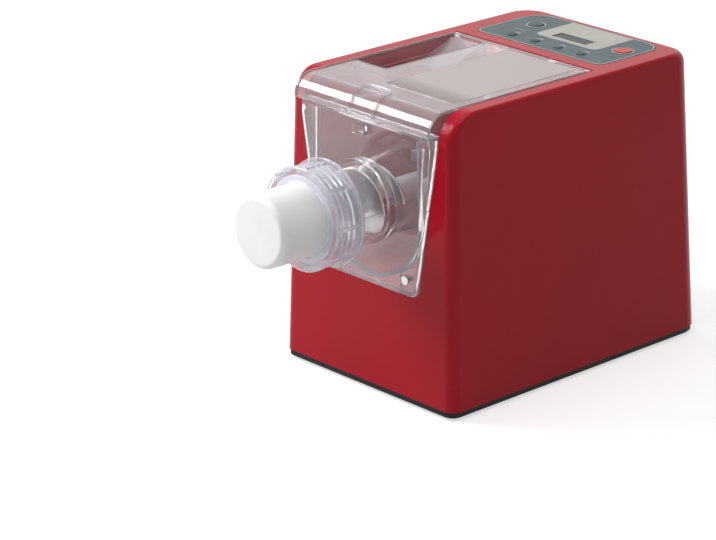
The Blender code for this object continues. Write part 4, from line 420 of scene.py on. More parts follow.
def white_ground(name, tone, lift):
    """Floor: white to the eye and to mirrors, and it keeps soft shadows."""
    material, tree, shader, coordinates = new_material(name)
    grain = noise(tree, coordinates, 30.0, 2.0)
    tree.links.new(two_tones(tree, grain, (tone - 0.01,) * 3, (tone + 0.01,) * 3),
                   shader.inputs["Base Color"])
    shader.inputs["Roughness"].default_value = 0.9
    shader.inputs["Specular IOR Level"].default_value = 0.1
    glow = tree.nodes.new("ShaderNodeEmission")
    level = tree.nodes.new("ShaderNodeMath")
    level.operation = 'MULTIPLY'
    level.inputs[1].default_value = lift
    add = tree.nodes.new("ShaderNodeAddShader")
    tree.links.new(seen_white(tree), level.inputs[0])
    tree.links.new(level.outputs["Value"], glow.inputs["Strength"])
    tree.links.new(shader.outputs["BSDF"], add.inputs[0])
    tree.links.new(glow.outputs["Emission"], add.inputs[1])
    tree.links.new(add.outputs["Shader"], tree.nodes["Material Output"].inputs["Surface"])
    return material


# ------------------------------------------------------------- mesh helpers

QUARTER_TURN = Matrix.Rotation(pi / 2.0, 4, 'X')


def at(across, u, v, w):
    """A point of a plane across an axis, w along it: X takes (y, z), Y (x, z) and Z (x, y)."""
    return {"X": (w, u, v), "Y": (u, w, v), "Z": (u, v, w)}[across]


def corners(low_u, low_v, high_u, high_v):
    """The four corners of a rectangle, in turn."""
    return [(low_u, low_v), (high_u, low_v), (high_u, high_v), (low_u, high_v)]


def corner_offset(before, here, after, radius):
    """How far from a corner the rounding of this radius starts."""
    back = (before - here).normalized()
    ahead = (after - here).normalized()
    return radius / tan(acos(max(-1.0, min(1.0, back.dot(ahead)))) / 2.0)


def rounded_face(bm, points, rounds, steps):
    """A face through the points with some corners rounded; rounds gives a radius for each."""
    made = [bm.verts.new(point) for point in points]
    bm.faces.new(made)
    count = len(points)
    for i, radius in enumerate(rounds):
        if radius > 0.0:
            offset = corner_offset(Vector(points[i - 1]), Vector(points[i]),
                                   Vector(points[(i + 1) % count]), radius)
            bmesh.ops.bevel(bm, geom=[made[i]], offset=offset, offset_type='OFFSET', segments=steps,
                            profile=0.5, affect='VERTICES', clamp_overlap=False, material=-1)
    bm.faces.ensure_lookup_table()
    return bm.faces[-1]


def rounded_ring(bm, points, rounds, steps):
    """The edges of a rounded outline, without its face."""
    known = set(bm.edges)
    face = rounded_face(bm, points, rounds, steps)
    edges = [edge for edge in bm.edges if edge not in known]
    bmesh.ops.delete(bm, geom=[face], context='FACES_ONLY')
    return edges


def skinned(bm, rings, name):
    """A closed form through rings of edges."""
    for lower, upper in zip(rings, rings[1:]):
        bmesh.ops.bridge_loops(bm, edges=lower + upper)
    bmesh.ops.holes_fill(bm, edges=rings[0] + rings[-1], sides=0)
    return object_from(bm, name)


def move_made(bm, made, shift):
    """Move the points that an extrusion made."""
    points = [item for item in made["geom"] if isinstance(item, bmesh.types.BMVert)]
    bmesh.ops.translate(bm, verts=points, vec=shift)


def block(outline, rounds, low, high, across, steps=10):
    """A straight-sided block from a rounded outline, from low to high across it."""
    bm = bmesh.new()
    face = rounded_face(bm, [at(across, u, v, low) for u, v in outline], rounds, steps)
    move_made(bm, bmesh.ops.extrude_face_region(bm, geom=[face]), at(across, 0.0, 0.0, high - low))
    bmesh.ops.recalc_face_normals(bm, faces=bm.faces)
    return bm


def block_piece(name, *values, **more):
    return object_from(block(*values, **more), name)


def add_to(bm, part):
    """Move a small bmesh into another one and free it."""
    mesh = bpy.data.meshes.new("part")
    part.to_mesh(mesh)
    part.free()
    bm.from_mesh(mesh)
    bpy.data.meshes.remove(mesh)
    return bm


def cuboid(bm, low, high):
    """A box between two corners."""
    low, high = Vector(low), Vector(high)
    place = Matrix.Translation((low + high) / 2.0) @ Matrix.Diagonal((*(high - low), 1.0))
    bmesh.ops.create_cube(bm, size=1.0, matrix=place)
    return bm


def cuboid_piece(name, low, high):
    return object_from(cuboid(bmesh.new(), low, high), name)


def rod(bm, radius, length, steps, place, turn=Matrix()):
    """A straight rod with its middle at a place, upright unless it is turned."""
    bmesh.ops.create_cone(bm, cap_ends=True, segments=steps, radius1=radius, radius2=radius,
                          depth=length, matrix=Matrix.Translation(place) @ turn)
    return bm


def rod_piece(name, *values):
    return object_from(rod(bmesh.new(), *values), name)


def lathe(bm, profile, rounds, steps, round_steps=4, centre=(0.0, AXIS_Z), along="Y", phase=0.0):
    """Turn a closed section about the extruder's axis, or about an upright one.

    Section points are (radius, place along the axis); sides on the axis are left out. The phase
    turns the steps out of line with those of another round piece, which keeps their cut clean.
    """
    part = bmesh.new()
    rounded_face(part, [(radius, place, 0.0) for radius, place in profile], rounds, round_steps)
    on_axis = [edge for edge in part.edges if all(abs(vert.co.x) < 1e-7 for vert in edge.verts)]
    bmesh.ops.delete(part, geom=list(part.faces), context='FACES_ONLY')
    bmesh.ops.delete(part, geom=on_axis, context='EDGES')
    bmesh.ops.spin(part, geom=list(part.verts) + list(part.edges), cent=(0.0, 0.0, 0.0),
                   axis=(0.0, 1.0, 0.0), angle=2.0 * pi, steps=steps, use_merge=True)
    bmesh.ops.remove_doubles(part, verts=part.verts, dist=MERGE_REACH)
    bmesh.ops.rotate(part, verts=part.verts, cent=(0.0, 0.0, 0.0),
                     matrix=Matrix.Rotation(phase, 3, 'Y'))
    if along == "Y":
        place = Matrix.Translation((centre[0], 0.0, centre[1]))
    else:
        place = Matrix.Translation((centre[0], centre[1], 0.0)) @ QUARTER_TURN
    bmesh.ops.transform(part, matrix=place, verts=part.verts)
    bmesh.ops.recalc_face_normals(part, faces=part.faces)
    return add_to(bm, part)


def lathe_piece(name, *values, **more):
    return object_from(lathe(bmesh.new(), *values, **more), name)


def object_from(bm, name, recalculate=True):
    """Turn a bmesh into an object at the origin."""
    if recalculate:
        bmesh.ops.recalc_face_normals(bm, faces=bm.faces)
    mesh = bpy.data.meshes.new(name)
    bm.to_mesh(mesh)
    bm.free()
    made = bpy.data.objects.new(name, mesh)
    bpy.context.scene.collection.objects.link(made)
    return made


def settle(piece):
    """Apply the piece's modifiers to its mesh."""
    bpy.context.view_layer.update()
    graph = bpy.context.evaluated_depsgraph_get()
    old = piece.data
    piece.data = bpy.data.meshes.new_from_object(piece.evaluated_get(graph))
    piece.modifiers.clear()
    bpy.data.meshes.remove(old)
    if len(piece.data.polygons) == 0:
        raise RuntimeError(f"{piece.name} lost its faces")


def discard(thing):
    """Remove an object and its mesh."""
    mesh = thing.data
    bpy.data.objects.remove(thing, do_unlink=True)
    bpy.data.meshes.remove(mesh)


def combine(piece, tools, operation):
    """Cut, join or limit the piece by other objects, which are then removed."""
    for tool in tools:
        step = piece.modifiers.new("combine", 'BOOLEAN')
        step.operation = operation
        step.object = tool
        step.solver = 'EXACT'
    settle(piece)
    for tool in tools:
        discard(tool)
    return piece


def close_seams(piece, reach):
    """Merge points that lie within reach of each other, and close what cracks are left."""
    bm = bmesh.new()
    bm.from_mesh(piece.data)
    bmesh.ops.remove_doubles(bm, verts=bm.verts, dist=reach)
    bmesh.ops.dissolve_degenerate(bm, edges=bm.edges, dist=reach)
    cracks = [edge for edge in bm.edges if edge.is_boundary]
    if cracks:
        bmesh.ops.holes_fill(bm, edges=cracks, sides=0)
    bmesh.ops.delete(bm, geom=[edge for edge in bm.edges if edge.is_wire], context='EDGES')
    bm.to_mesh(piece.data)
    bm.free()


def soften(piece, width, angle=35.0):
    """Round the sharp edges that cutting left."""
    close_seams(piece, 8e-6)
    edge = piece.modifiers.new("edge", 'BEVEL')
    edge.width = width
    edge.segments = 2
    edge.limit_method = 'ANGLE'
    edge.angle_limit = radians(angle)
    edge.use_clamp_overlap = True
    edge.harden_normals = False
    settle(piece)
    close_seams(piece, 2e-6)
    return piece


def finished(piece, body, material, replaces=(), sharp=30.0):
    """Shade, colour and mount a piece on its body, in place of the CAD nodes it stands for."""
    piece.data.shade_smooth()
    piece.data.set_sharp_from_angle(angle=radians(sharp))
    weigh = piece.modifiers.new("weigh", 'WEIGHTED_NORMAL')
    weigh.keep_sharp = True
    weigh.mode = 'FACE_AREA'
    settle(piece)
    piece.data.materials.clear()
    piece.data.materials.append(material)
    piece.data.name = piece.name
    if replaces:
        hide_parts(*replaces)
    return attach(piece, body)


def refined(node, material, width):
    """A merged copy of a CAD node with rounded edges, in the node's place."""
    source = frame["nodes"][node]
    bm = bmesh.new()
    bm.from_mesh(source.data)
    bmesh.ops.remove_doubles(bm, verts=bm.verts, dist=5e-6)
    bmesh.ops.dissolve_limit(bm, angle_limit=radians(0.5), verts=bm.verts, edges=bm.edges)
    piece = object_from(bm, "shown_" + node, recalculate=False)
    soften(piece, width)
    return finished(piece, source["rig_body"], material, (node,), 32.0)


# ------------------------------------------------------------------ housing

def draw_in(z, top, radius):
    """How far an edge rounding draws a wall in at height z."""
    rise = z - (top - radius)
    if rise <= 0.0:
        return 0.0
    return radius - sqrt(max(0.0, radius * radius - rise * rise))


def body_ring(bm, z, inset):
    """The edges of one ring of the body's plan at height z."""
    top = TOP - inset
    side_r = max(SIDE_TOP_R - inset, LEAST_R)
    half = BASE_HALF - (BASE_HALF - TOP_HALF) * z / TOP - inset - draw_in(z, top, side_r)
    front = FRONT + inset + draw_in(z, top, FRONT_TOP_R - inset)
    rear = rear_wall(z) - inset - draw_in(z, top, REAR_TOP_R - inset)
    share = max(0.0, min(1.0, (z - TOP + FRONT_TOP_R) / FRONT_TOP_R))
    front_r = max(FRONT_CORNER_R + (FRONT_CORNER_TOP_R - FRONT_CORNER_R) * share - inset, 0.0004)
    rear_r = REAR_CORNER_R - inset
    plan = [(x, y, z) for x, y in corners(-half, front, half, rear)]
    return rounded_ring(bm, plan, (front_r, front_r, rear_r, rear_r), BODY_CORNER_STEPS)


def body_form(name, inset, low):
    """The body's closed form, drawn in by the inset, skinned through its rings."""
    top = TOP - inset
    front_r = FRONT_TOP_R - inset
    side_r = max(SIDE_TOP_R - inset, LEAST_R)
    heights = [low]
    for i in range(BODY_ARC_STEPS):
        z = top - front_r + front_r * sin(pi / 2.0 * i / BODY_ARC_STEPS)
        if z < top - 1.5 * side_r:
            heights.append(z)
    for i in range(BODY_EDGE_STEPS + 1):
        heights.append(top - side_r + side_r * sin(pi / 2.0 * i / BODY_EDGE_STEPS))
    bm = bmesh.new()
    return skinned(bm, [body_ring(bm, z, inset) for z in heights], name)


def opening_points(grow, top):
    """Corners and roundings of the front opening, grown by so much, as (x, z)."""
    base, half, low = OPENING_BASE_HALF + grow, OPENING_TOP_HALF + grow, OPENING_BASE_Z - grow
    points = [(-base, low), (base, low), (half, OPENING_KNEE_Z), (half, top), (-half, top),
              (-half, OPENING_KNEE_Z)]
    return points, [OPENING_CORNER_R + grow] * 2 + [0.0] * 4


def rear_wall(z):
    return FRONT + BODY_DEPTH - REAR_LEAN * z / TOP


def panel_buttons():
    """Name, radius and place of each button, from the CAD model."""
    for node in ("start_button", "menu_button", "key_minus", "key_mode", "key_weight", "key_plus"):
        low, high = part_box(node)
        radius = {"start_button": 0.0085, "menu_button": 0.0075}.get(node, 0.0045)
        yield node, radius, (low.x + high.x) / 2.0, (low.y + high.y) / 2.0


def button_holes(z, depth, steps):
    """Cutters for the buttons, with their middle at height z."""
    return [rod_piece("hole_" + name, radius + SET_IN_GAP, depth, steps, (x, y, z))
            for name, radius, x, y in panel_buttons()]


def window_hole(grow, low, high):
    """A cutter for the display window, grown by so much."""
    start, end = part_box("display_window")
    return cuboid_piece("window", (start.x - grow, start.y - grow, low),
                        (end.x + grow, end.y + grow, high))


def panel_block(name, grow, low, high):
    """A block of the panel's outline, grown by so much."""
    outline = corners(OVERLAY_LOW.x - grow, OVERLAY_LOW.y - grow, OVERLAY_HIGH.x + grow,
                      OVERLAY_HIGH.y + grow)
    front_r, rear_r = PANEL_FRONT_R + grow, PANEL_REAR_R + grow
    return block_piece(name, outline, (front_r, front_r, rear_r, rear_r), low, high, "Z")


class PASTAMAKER_OT_housing(Operator):
    """Build the glossy red shell with its opening, panel recess and vents"""
    bl_idname = "pasta_maker.housing"
    bl_label = "Housing"

    def execute(self, context):
        wall = sizes().wall
        shell = body_form("housing", 0.0, HEM)
        points, rounds = opening_points(0.0, TOP + OVERRUN)
        half = OPENING_TOP_HALF
        tools = [
            body_form("housing_hollow", wall, HEM - OVERRUN),
            block_piece("front_opening", points, rounds, FRONT - OVERRUN, FRONT + wall + 0.001,
                        "Y"),
            cuboid_piece("top_opening", (-half, FRONT - OVERRUN, OPENING_KNEE_Z),
                         (half, OPENING_REAR, TOP + OVERRUN)),
            panel_block("panel_recess", SET_IN_GAP, TOP - 0.001, TOP + OVERRUN),
            window_hole(SET_IN_GAP, TOP - 0.02, TOP + OVERRUN),
            *button_holes(TOP, 0.03, 32), *self.vents(), self.gland_hole(),
        ]
        combine(shell, tools, 'DIFFERENCE')
        soften(shell, sizes().edge_round, 50.0)
        finished(shell, "housing", housing_paint(), ("housing_shell",), 40.0)
        # Painted light: the chamber bay's red is set much lighter than the housing's red, standing
        # in for light that barely reaches the bay behind the clear plastic.
        inner_red = moulded("inner_red", (0.60, 0.030, 0.052), 0.38, 0.08, specular=0.4)
        refined("chamber_bay", inner_red, 0.0005)
        return {'FINISHED'}

    def vents(self):
        """Cutters for the row of slots in the rear wall."""
        made = []
        for i in range(VENTS):
            z = VENT_LOW + i * VENT_PITCH
            made.append(block_piece("vent", corners(-VENT_HALF, z, VENT_HALF, z + VENT_HEIGHT),
                                    [0.0012] * 4, rear_wall(z) - 0.013, rear_wall(z) + OVERRUN, "Y",
                                    steps=4))
        return made

    def gland_hole(self):
        """A cutter for the cord gland, square to the leaning rear wall."""
        low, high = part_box("cord_gland")
        square = Matrix.Rotation(atan2(REAR_LEAN, TOP) - pi / 2.0, 4, 'X')
        return rod_piece("gland_hole", GLAND_HOLE_R, 0.03, 32, (low + high) / 2.0, square)


class PASTAMAKER_OT_base(Operator):
    """Build the black base plate, its screws and the four rubber feet"""
    bl_idname = "pasta_maker.base"
    bl_label = "Base and Feet"

    def execute(self, context):
        refined("base_plate", black_plastic(), 0.0006)
        for node in ("foot_front_left", "foot_front_right", "foot_rear_left", "foot_rear_right"):
            low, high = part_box(node)
            foot = lathe_piece("pad_" + node,
                               [(0.0, low.z), (0.0085, low.z), (0.010, high.z), (0.0, high.z)],
                               (0.0, 0.0008, 0.0003, 0.0), 48,
                               centre=((low.x + high.x) / 2.0, (low.y + high.y) / 2.0), along="Z")
            finished(foot, "housing", rubber(), (node,))
        for i in range(4):
            refined(f"base_screw_{i + 1}", brushed_steel(), 0.0003)
        refined("cord_gland", rubber(), 0.0004)
        return {'FINISHED'}


# ------------------------------------------------------------ control panel

class PASTAMAKER_OT_control_panel(Operator):
    """Build the panel overlay with its plain print, the display and the six buttons"""
    bl_idname = "pasta_maker.control_panel"
    bl_label = "Control Panel"

    def execute(self, context):
        field = moulded("panel_field", tuple(colours().overlay), 0.42, 0.08, 1800.0, 0.00002,
                        specular=0.3)
        top = OVERLAY_HIGH.z
        overlay = panel_block("overlay", 0.0, OVERLAY_LOW.z, top)
        tools = [window_hole(SET_IN_GAP, top - OVERRUN, top + OVERRUN),
                 *button_holes(top, 0.02, 48)]
        combine(overlay, tools, 'DIFFERENCE')
        soften(overlay, 0.0002, 50.0)
        finished(overlay, "housing", field, ("panel_overlay",))
        self.print_marks(top)
        self.display()
        self.buttons()
        return {'FINISHED'}

    def print_marks(self, top):
        """Pale outline, pale middle field and small plain marks, printed on the overlay."""
        low, high = top - PRINT_SUNK, top + PRINT_HEIGHT
        marks = combine(self.outline("panel_marks", PRINT_EDGE, 0.001, low, high),
                        [self.outline("inner", PRINT_EDGE + PRINT_LINE, 0.002, top - OVERRUN,
                                      top + OVERRUN)], 'DIFFERENCE')
        rear = OVERLAY_HIGH.y - (PRINT_EDGE + PRINT_LINE) + 0.0004
        middle = block_piece("panel_middle", corners(-0.034, OVERLAY_LOW.y + 0.034, 0.045, rear),
                             (0.007, 0.007, 0.0, 0.0), low, high, "Z")
        combine(middle, [window_hole(0.0004, top - OVERRUN, top + OVERRUN)], 'DIFFERENCE')
        bm = bmesh.new()
        for part in (marks, middle):
            bm.from_mesh(part.data)
            discard(part)
        for name, radius, x, y in panel_buttons():
            if name.endswith("button"):
                ring = corners(radius + BUTTON_RIM, low, radius + 2.0 * BUTTON_RIM, high)
                lathe(bm, ring, (0.0,) * 4, 48, centre=(x, y), along="Z")
            else:
                for half, rise in ((0.0042, 0.0068), (0.0026, 0.0068 + 0.0020)):
                    cuboid(bm, (x - half, y + rise, low), (x + half, y + rise + 0.0009, high))
        for i in range(4):
            x = -0.060 + 0.0036 * i
            cuboid(bm, (x, OVERLAY_LOW.y + 0.0345, low), (x + 0.0024, OVERLAY_LOW.y + 0.0352, high))
        pale = moulded("panel_print", tuple(colours().print_pale), 0.42, 0.04, 1800.0, 0.00002,
                       specular=0.3)
        finished(object_from(bm, "panel_marks", recalculate=False), "housing", pale, ())

    def outline(self, name, edge, tighter, low, high):
        """A block of the overlay's outline, drawn in by an edge, with tighter corners."""
        plan = corners(OVERLAY_LOW.x + edge, OVERLAY_LOW.y + edge, OVERLAY_HIGH.x - edge,
                       OVERLAY_HIGH.y - edge)
        front_r, rear_r = PANEL_FRONT_R - tighter, PANEL_REAR_R - tighter
        return block_piece(name, plan, (front_r, front_r, rear_r, rear_r), low, high, "Z")

    def display(self):
        """Dark glass of the display."""
        low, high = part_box("display_window")
        glass = moulded("display_glass", (0.030, 0.040, 0.034), 0.30, 0.12, 300.0, 0.00001,
                        cloud=90.0, specular=0.2)
        pane = block_piece("display_pane", corners(low.x, low.y, high.x, high.y), [0.0006] * 4,
                           low.z, high.z, "Z", steps=4)
        soften(pane, 0.0002, 50.0)
        finished(pane, "housing", glass, ("display_window",))

    def buttons(self):
        """Button caps, each with a hidden rim that holds it under the shell."""
        red = moulded("start_red", tuple(colours().start), 0.42, 0.05, 1500.0, 0.00002,
                      specular=0.3)
        grey = moulded("key_grey", (0.055, 0.083, 0.092), 0.5, 0.06, 1500.0, 0.00002,
                       specular=0.25)
        rim_top = TOP - 0.0033
        rim_low = rim_top - 0.0015
        for name, radius, x, y in panel_buttons():
            low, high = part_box(name)
            rim_r = radius + BUTTON_RIM
            profile = [(0.0, low.z), (0.002, low.z), (0.002, rim_low), (rim_r, rim_low),
                       (rim_r, rim_top), (radius, rim_top), (radius, high.z), (0.0, high.z)]
            cap = lathe_piece("cap_" + name, profile, (0.0,) * 6 + (0.0006, 0.0), 48, centre=(x, y),
                              along="Z")
            look, slot = (red, "start_red") if name == "start_button" else (grey, "key_grey")
            finished(cap, name + "_body", look, (name,))


# ---------------------------------------------------------------------- lid

def lid_outline():
    """The lid's side outline as (y, z) with its roundings."""
    low = PLATE_TOP_Z + SEAT_GAP
    skirt = LID_FRONT + 0.025
    rear = HINGE_Y + 0.0027
    points = [(LID_FRONT, low), (LID_FRONT, TOP), (rear, TOP), (rear, HINGE_Z - 0.0027),
              (HINGE_Y, TOP - SIDE_FLANGE_DROP), (skirt + 0.0072, TOP - SIDE_FLANGE_DROP),
              (skirt, low)]
    return points, [0.0, LID_FRONT_R, 0.0026, 0.0022, 0.0, 0.003, 0.002]


def lid_band(name, grow, rear, low_x, high_x):
    """A raised strip that follows the lid's top and front."""
    sunk = sizes().lid_wall / 2.0
    outer_front, inner_front = LID_FRONT - grow, LID_FRONT + sunk
    low = PLATE_TOP_Z + SEAT_GAP + 0.001
    points = [(outer_front, low), (outer_front, TOP + grow), (rear, TOP + grow), (rear, TOP - sunk),
              (inner_front, TOP - sunk), (inner_front, low)]
    rounds = [0.0, LID_FRONT_R + grow, 0.0, 0.0, LID_FRONT_R - sunk, 0.0]
    return block_piece(name, points, rounds, low_x, high_x, "X", steps=sizes().round_steps)


class PASTAMAKER_OT_lid(Operator):
    """Build the clear lid with its pour slot, chute, pull loop and frosted field"""
    bl_idname = "pasta_maker.lid"
    bl_label = "Lid"

    def execute(self, context):
        wall = sizes().lid_wall
        half = OPENING_TOP_HALF - SEAT_GAP
        inner = half - wall
        lid = self.shell(wall, half, inner)
        left = 0.0005 - inner
        right = left + SLOT_WIDTH
        chute = cuboid_piece("chute", (left - 0.001, SLOT_FRONT - 0.002, TOP - CHUTE_DROP),
                             (right + 0.002, SLOT_REAR + 0.002, TOP - wall / 2.0))
        combine(lid, [chute, self.rim(-1.0, inner, half), self.rim(1.0, inner, half), self.loop(),
                      self.lip(), self.edge_ridge()], 'UNION')
        slot = block_piece("slot", corners(left, SLOT_FRONT, right, SLOT_REAR), [0.0025] * 4,
                           TOP - 0.04, TOP + OVERRUN, "Z", steps=5)
        seat = block_piece("seat", self.field_points(0.0003), [FIELD_CORNER_R] * 4, TOP - 0.0012,
                           TOP + OVERRUN, "Z", steps=8)
        combine(lid, [slot, seat], 'DIFFERENCE')
        combine(lid, [self.ramp(wall, left, right)], 'UNION')
        soften(lid, 0.0005, 40.0)
        finished(lid, "lid", clear_plastic("lid_clear", 0.06, 0.08), ("lid",), 35.0)
        self.frosted_field()
        for hand in ("left", "right"):
            refined("hinge_pin_" + hand, brushed_steel(), 0.0002)
        return {'FINISHED'}

    def shell(self, wall, half, inner):
        """The lid's bent sheet with its side flanges."""
        steps = sizes().round_steps
        points, rounds = lid_outline()
        lid = block_piece("clear_lid", points, rounds, -half, half, "X", steps=steps)
        low = PLATE_TOP_Z - OVERRUN
        front, rear = LID_FRONT + wall, HINGE_Y - 0.004
        section = [(front, low), (front, TOP - wall), (rear, TOP - wall), (rear, low)]
        hollow = block_piece("hollow", section, [0.0, LID_FRONT_R - wall, 0.0, 0.0], -inner, inner,
                             "X", steps=steps)
        return combine(lid, [hollow], 'DIFFERENCE')

    def ramp(self, wall, left, right):
        """The sloping floor at the rear of the pour slot's chute."""
        low, high = TOP - CHUTE_DROP + 0.0025, TOP - wall / 2.0
        front, rear = SLOT_REAR - RAMP_LENGTH, SLOT_REAR + 0.001
        section = [(front, low), (front, low - RAMP_WALL), (rear, high - RAMP_WALL), (rear, high)]
        return block_piece("ramp", section, [0.0] * 4, left - 0.0005, right + 0.001, "X")

    def rim(self, side, inner, half):
        low_x, high_x = sorted((side * (inner + 0.0003), side * (half - 0.0003)))
        return lid_band("rim", 0.001, HINGE_Y - 0.0054, low_x, high_x)

    def edge_ridge(self):
        """The low ridge across the lid behind its rounded front."""
        y = LID_FRONT + 0.058
        return cuboid_piece("edge_ridge", (-0.083, y, TOP - 0.0015),
                            (0.083, y + 0.0006, TOP + 0.0002))

    def loop(self):
        """The raised loop of the pull tab."""
        rear = LID_FRONT + 0.025
        front = LID_FRONT - OVERRUN
        band = lid_band("tab_loop", 0.0028, rear + 0.01, -0.022, 0.022)
        low, high = PLATE_TOP_Z - OVERRUN, TOP + OVERRUN
        plan = block_piece("plan", corners(-0.016, front, 0.018, rear), [0.0, 0.0, 0.006, 0.006],
                           low, high, "Z")
        combine(band, [plan], 'INTERSECT')
        gap = block_piece("gap", corners(-0.0140, front - 0.001, 0.0160, rear - 0.0020),
                          [0.0, 0.0, 0.0042, 0.0042], low - 0.001, high + 0.001, "Z")
        return combine(band, [gap], 'DIFFERENCE')

    def lip(self):
        """The finger lip under the loop."""
        low = PLATE_TOP_Z + SEAT_GAP / 2.0
        plan = corners(-0.026, LID_FRONT - 0.0035, 0.026, LID_FRONT + 0.001)
        return block_piece("lip", plan, [0.003, 0.003, 0.0, 0.0], low, low + 0.003, "Z", steps=6)

    def field_points(self, grow):
        return corners(INSERT_LOW.x - grow, INSERT_LOW.y - grow, INSERT_HIGH.x + FIELD_EXTRA + grow,
                       INSERT_HIGH.y + grow)

    def frosted_field(self):
        """Frosted field that fades out towards the front of the lid."""
        field = block_piece("frosted_field", self.field_points(0.0), [FIELD_CORNER_R] * 4,
                            INSERT_LOW.z, INSERT_HIGH.z, "Z", steps=8)
        soften(field, 0.0002, 50.0)
        material, tree, shader, coordinates = new_material("frosted_plastic")
        tint = tuple(colours().frosted)
        speckle = noise(tree, coordinates, 900.0, 3.0)
        tree.links.new(two_tones(tree, speckle, shaded(tint, 0.95), shaded(tint, 1.05)),
                       shader.inputs["Base Color"])
        shader.inputs["Roughness"].default_value = 0.38
        tree.links.new(bump(tree, speckle, 0.3, 0.00005), shader.inputs["Normal"])
        place = tree.nodes.new("ShaderNodeSeparateXYZ")
        fade = tree.nodes.new("ShaderNodeMapRange")
        fade.inputs["From Min"].default_value = INSERT_LOW.y
        fade.inputs["From Max"].default_value = INSERT_LOW.y + FIELD_FADE
        fade.inputs["To Min"].default_value = 0.25
        fade.inputs["To Max"].default_value = 0.90
        clear = tree.nodes.new("ShaderNodeBsdfTransparent")
        tree.links.new(coordinates.outputs["Object"], place.inputs["Vector"])
        tree.links.new(place.outputs["Y"], fade.inputs["Value"])
        mix_surface(tree, fade.outputs["Result"], clear.outputs["BSDF"], shader.outputs["BSDF"])
        material.diffuse_color = (*tint, 0.9)
        finished(field, "lid", material, ("lid_insert",))


# -------------------------------------------------- front plate and chamber

def plate_ring(bm, y, inset, taper):
    """One outline of the front plate; a tapered one leans out and draws in towards its top."""
    points, (corner_r, *_) = opening_points(-SEAT_GAP - inset, PLATE_TOP_Z - inset)
    edges = rounded_ring(bm, [(x, y, z) for x, z in points], [corner_r] * 2 + [0.0] * 4, 10)
    for vert in {vert for edge in edges for vert in edge.verts}:
        share = (vert.co.z - OPENING_BASE_Z) / (PLATE_TOP_Z - OPENING_BASE_Z)
        draw = taper * (PLATE_BASE_TAPER + (PLATE_TOP_TAPER - PLATE_BASE_TAPER) * share)
        vert.co.x -= draw if vert.co.x > 0.0 else -draw
        vert.co.y -= taper * plate_reach(share)
    return edges


def plate_reach(share):
    """How far the front plate's face stands before the opening, by its share of the height."""
    return PLATE_BASE_REACH + (PLATE_TOP_REACH - PLATE_BASE_REACH) * share


def plate_form(name, inset, rear):
    """The front plate's outer form, or its hollow."""
    bm = bmesh.new()
    rings = [plate_ring(bm, rear, inset, 0.0), plate_ring(bm, FRONT - 0.0002, inset, 0.0),
             plate_ring(bm, FRONT + inset, inset, 1.0)]
    return skinned(bm, rings, name)


def u_ring(name, low, high, steps=40):
    """The U-shaped rib or seal round the extruder's axis, open at its top."""
    bm = bmesh.new()
    a = bm.verts.new((-GASKET_INNER_R, low, AXIS_Z))
    b = bm.verts.new((-GASKET_OUTER_R, low, AXIS_Z))
    edge = bm.edges.new((a, b))
    bmesh.ops.spin(bm, geom=[a, b, edge], cent=(0.0, 0.0, AXIS_Z), axis=(0.0, 1.0, 0.0), angle=-pi,
                   steps=steps, use_merge=False)
    ends = [edge for edge in bm.edges
            if edge.is_boundary and all(abs(v.co.z - AXIS_Z) < MERGE_REACH for v in edge.verts)]
    for end in ends:
        made = bmesh.ops.extrude_edge_only(bm, edges=[end])
        move_made(bm, made, (0.0, 0.0, TROUGH_TOP - 0.001 - AXIS_Z))
    bmesh.ops.remove_doubles(bm, verts=bm.verts, dist=MERGE_REACH)
    made = bmesh.ops.extrude_face_region(bm, geom=list(bm.faces))
    move_made(bm, made, (0.0, high - low, 0.0))
    return object_from(bm, name)


def arc_block(name, inner, outer, low, high, middle, width):
    """A curved block round the extruder's axis; its middle and width are angles in degrees."""
    start = radians(middle - width / 2.0)
    bm = bmesh.new()
    a = bm.verts.new((inner * cos(start), low, AXIS_Z + inner * sin(start)))
    b = bm.verts.new((outer * cos(start), low, AXIS_Z + outer * sin(start)))
    edge = bm.edges.new((a, b))
    bmesh.ops.spin(bm, geom=[a, b, edge], cent=(0.0, 0.0, AXIS_Z), axis=(0.0, 1.0, 0.0),
                   angle=-radians(width), steps=max(2, round(width / 4.4)), use_merge=False)
    made = bmesh.ops.extrude_face_region(bm, geom=list(bm.faces))
    move_made(bm, made, (0.0, high - low, 0.0))
    return object_from(bm, name)


def lugs(inner, outer, low):
    """Three bayonet lugs, evenly spaced round the axis."""
    return [arc_block("lug", inner, outer, low, low + LUG_LENGTH, 90.0 + 120.0 * i, LUG_ANGLE)
            for i in range(3)]


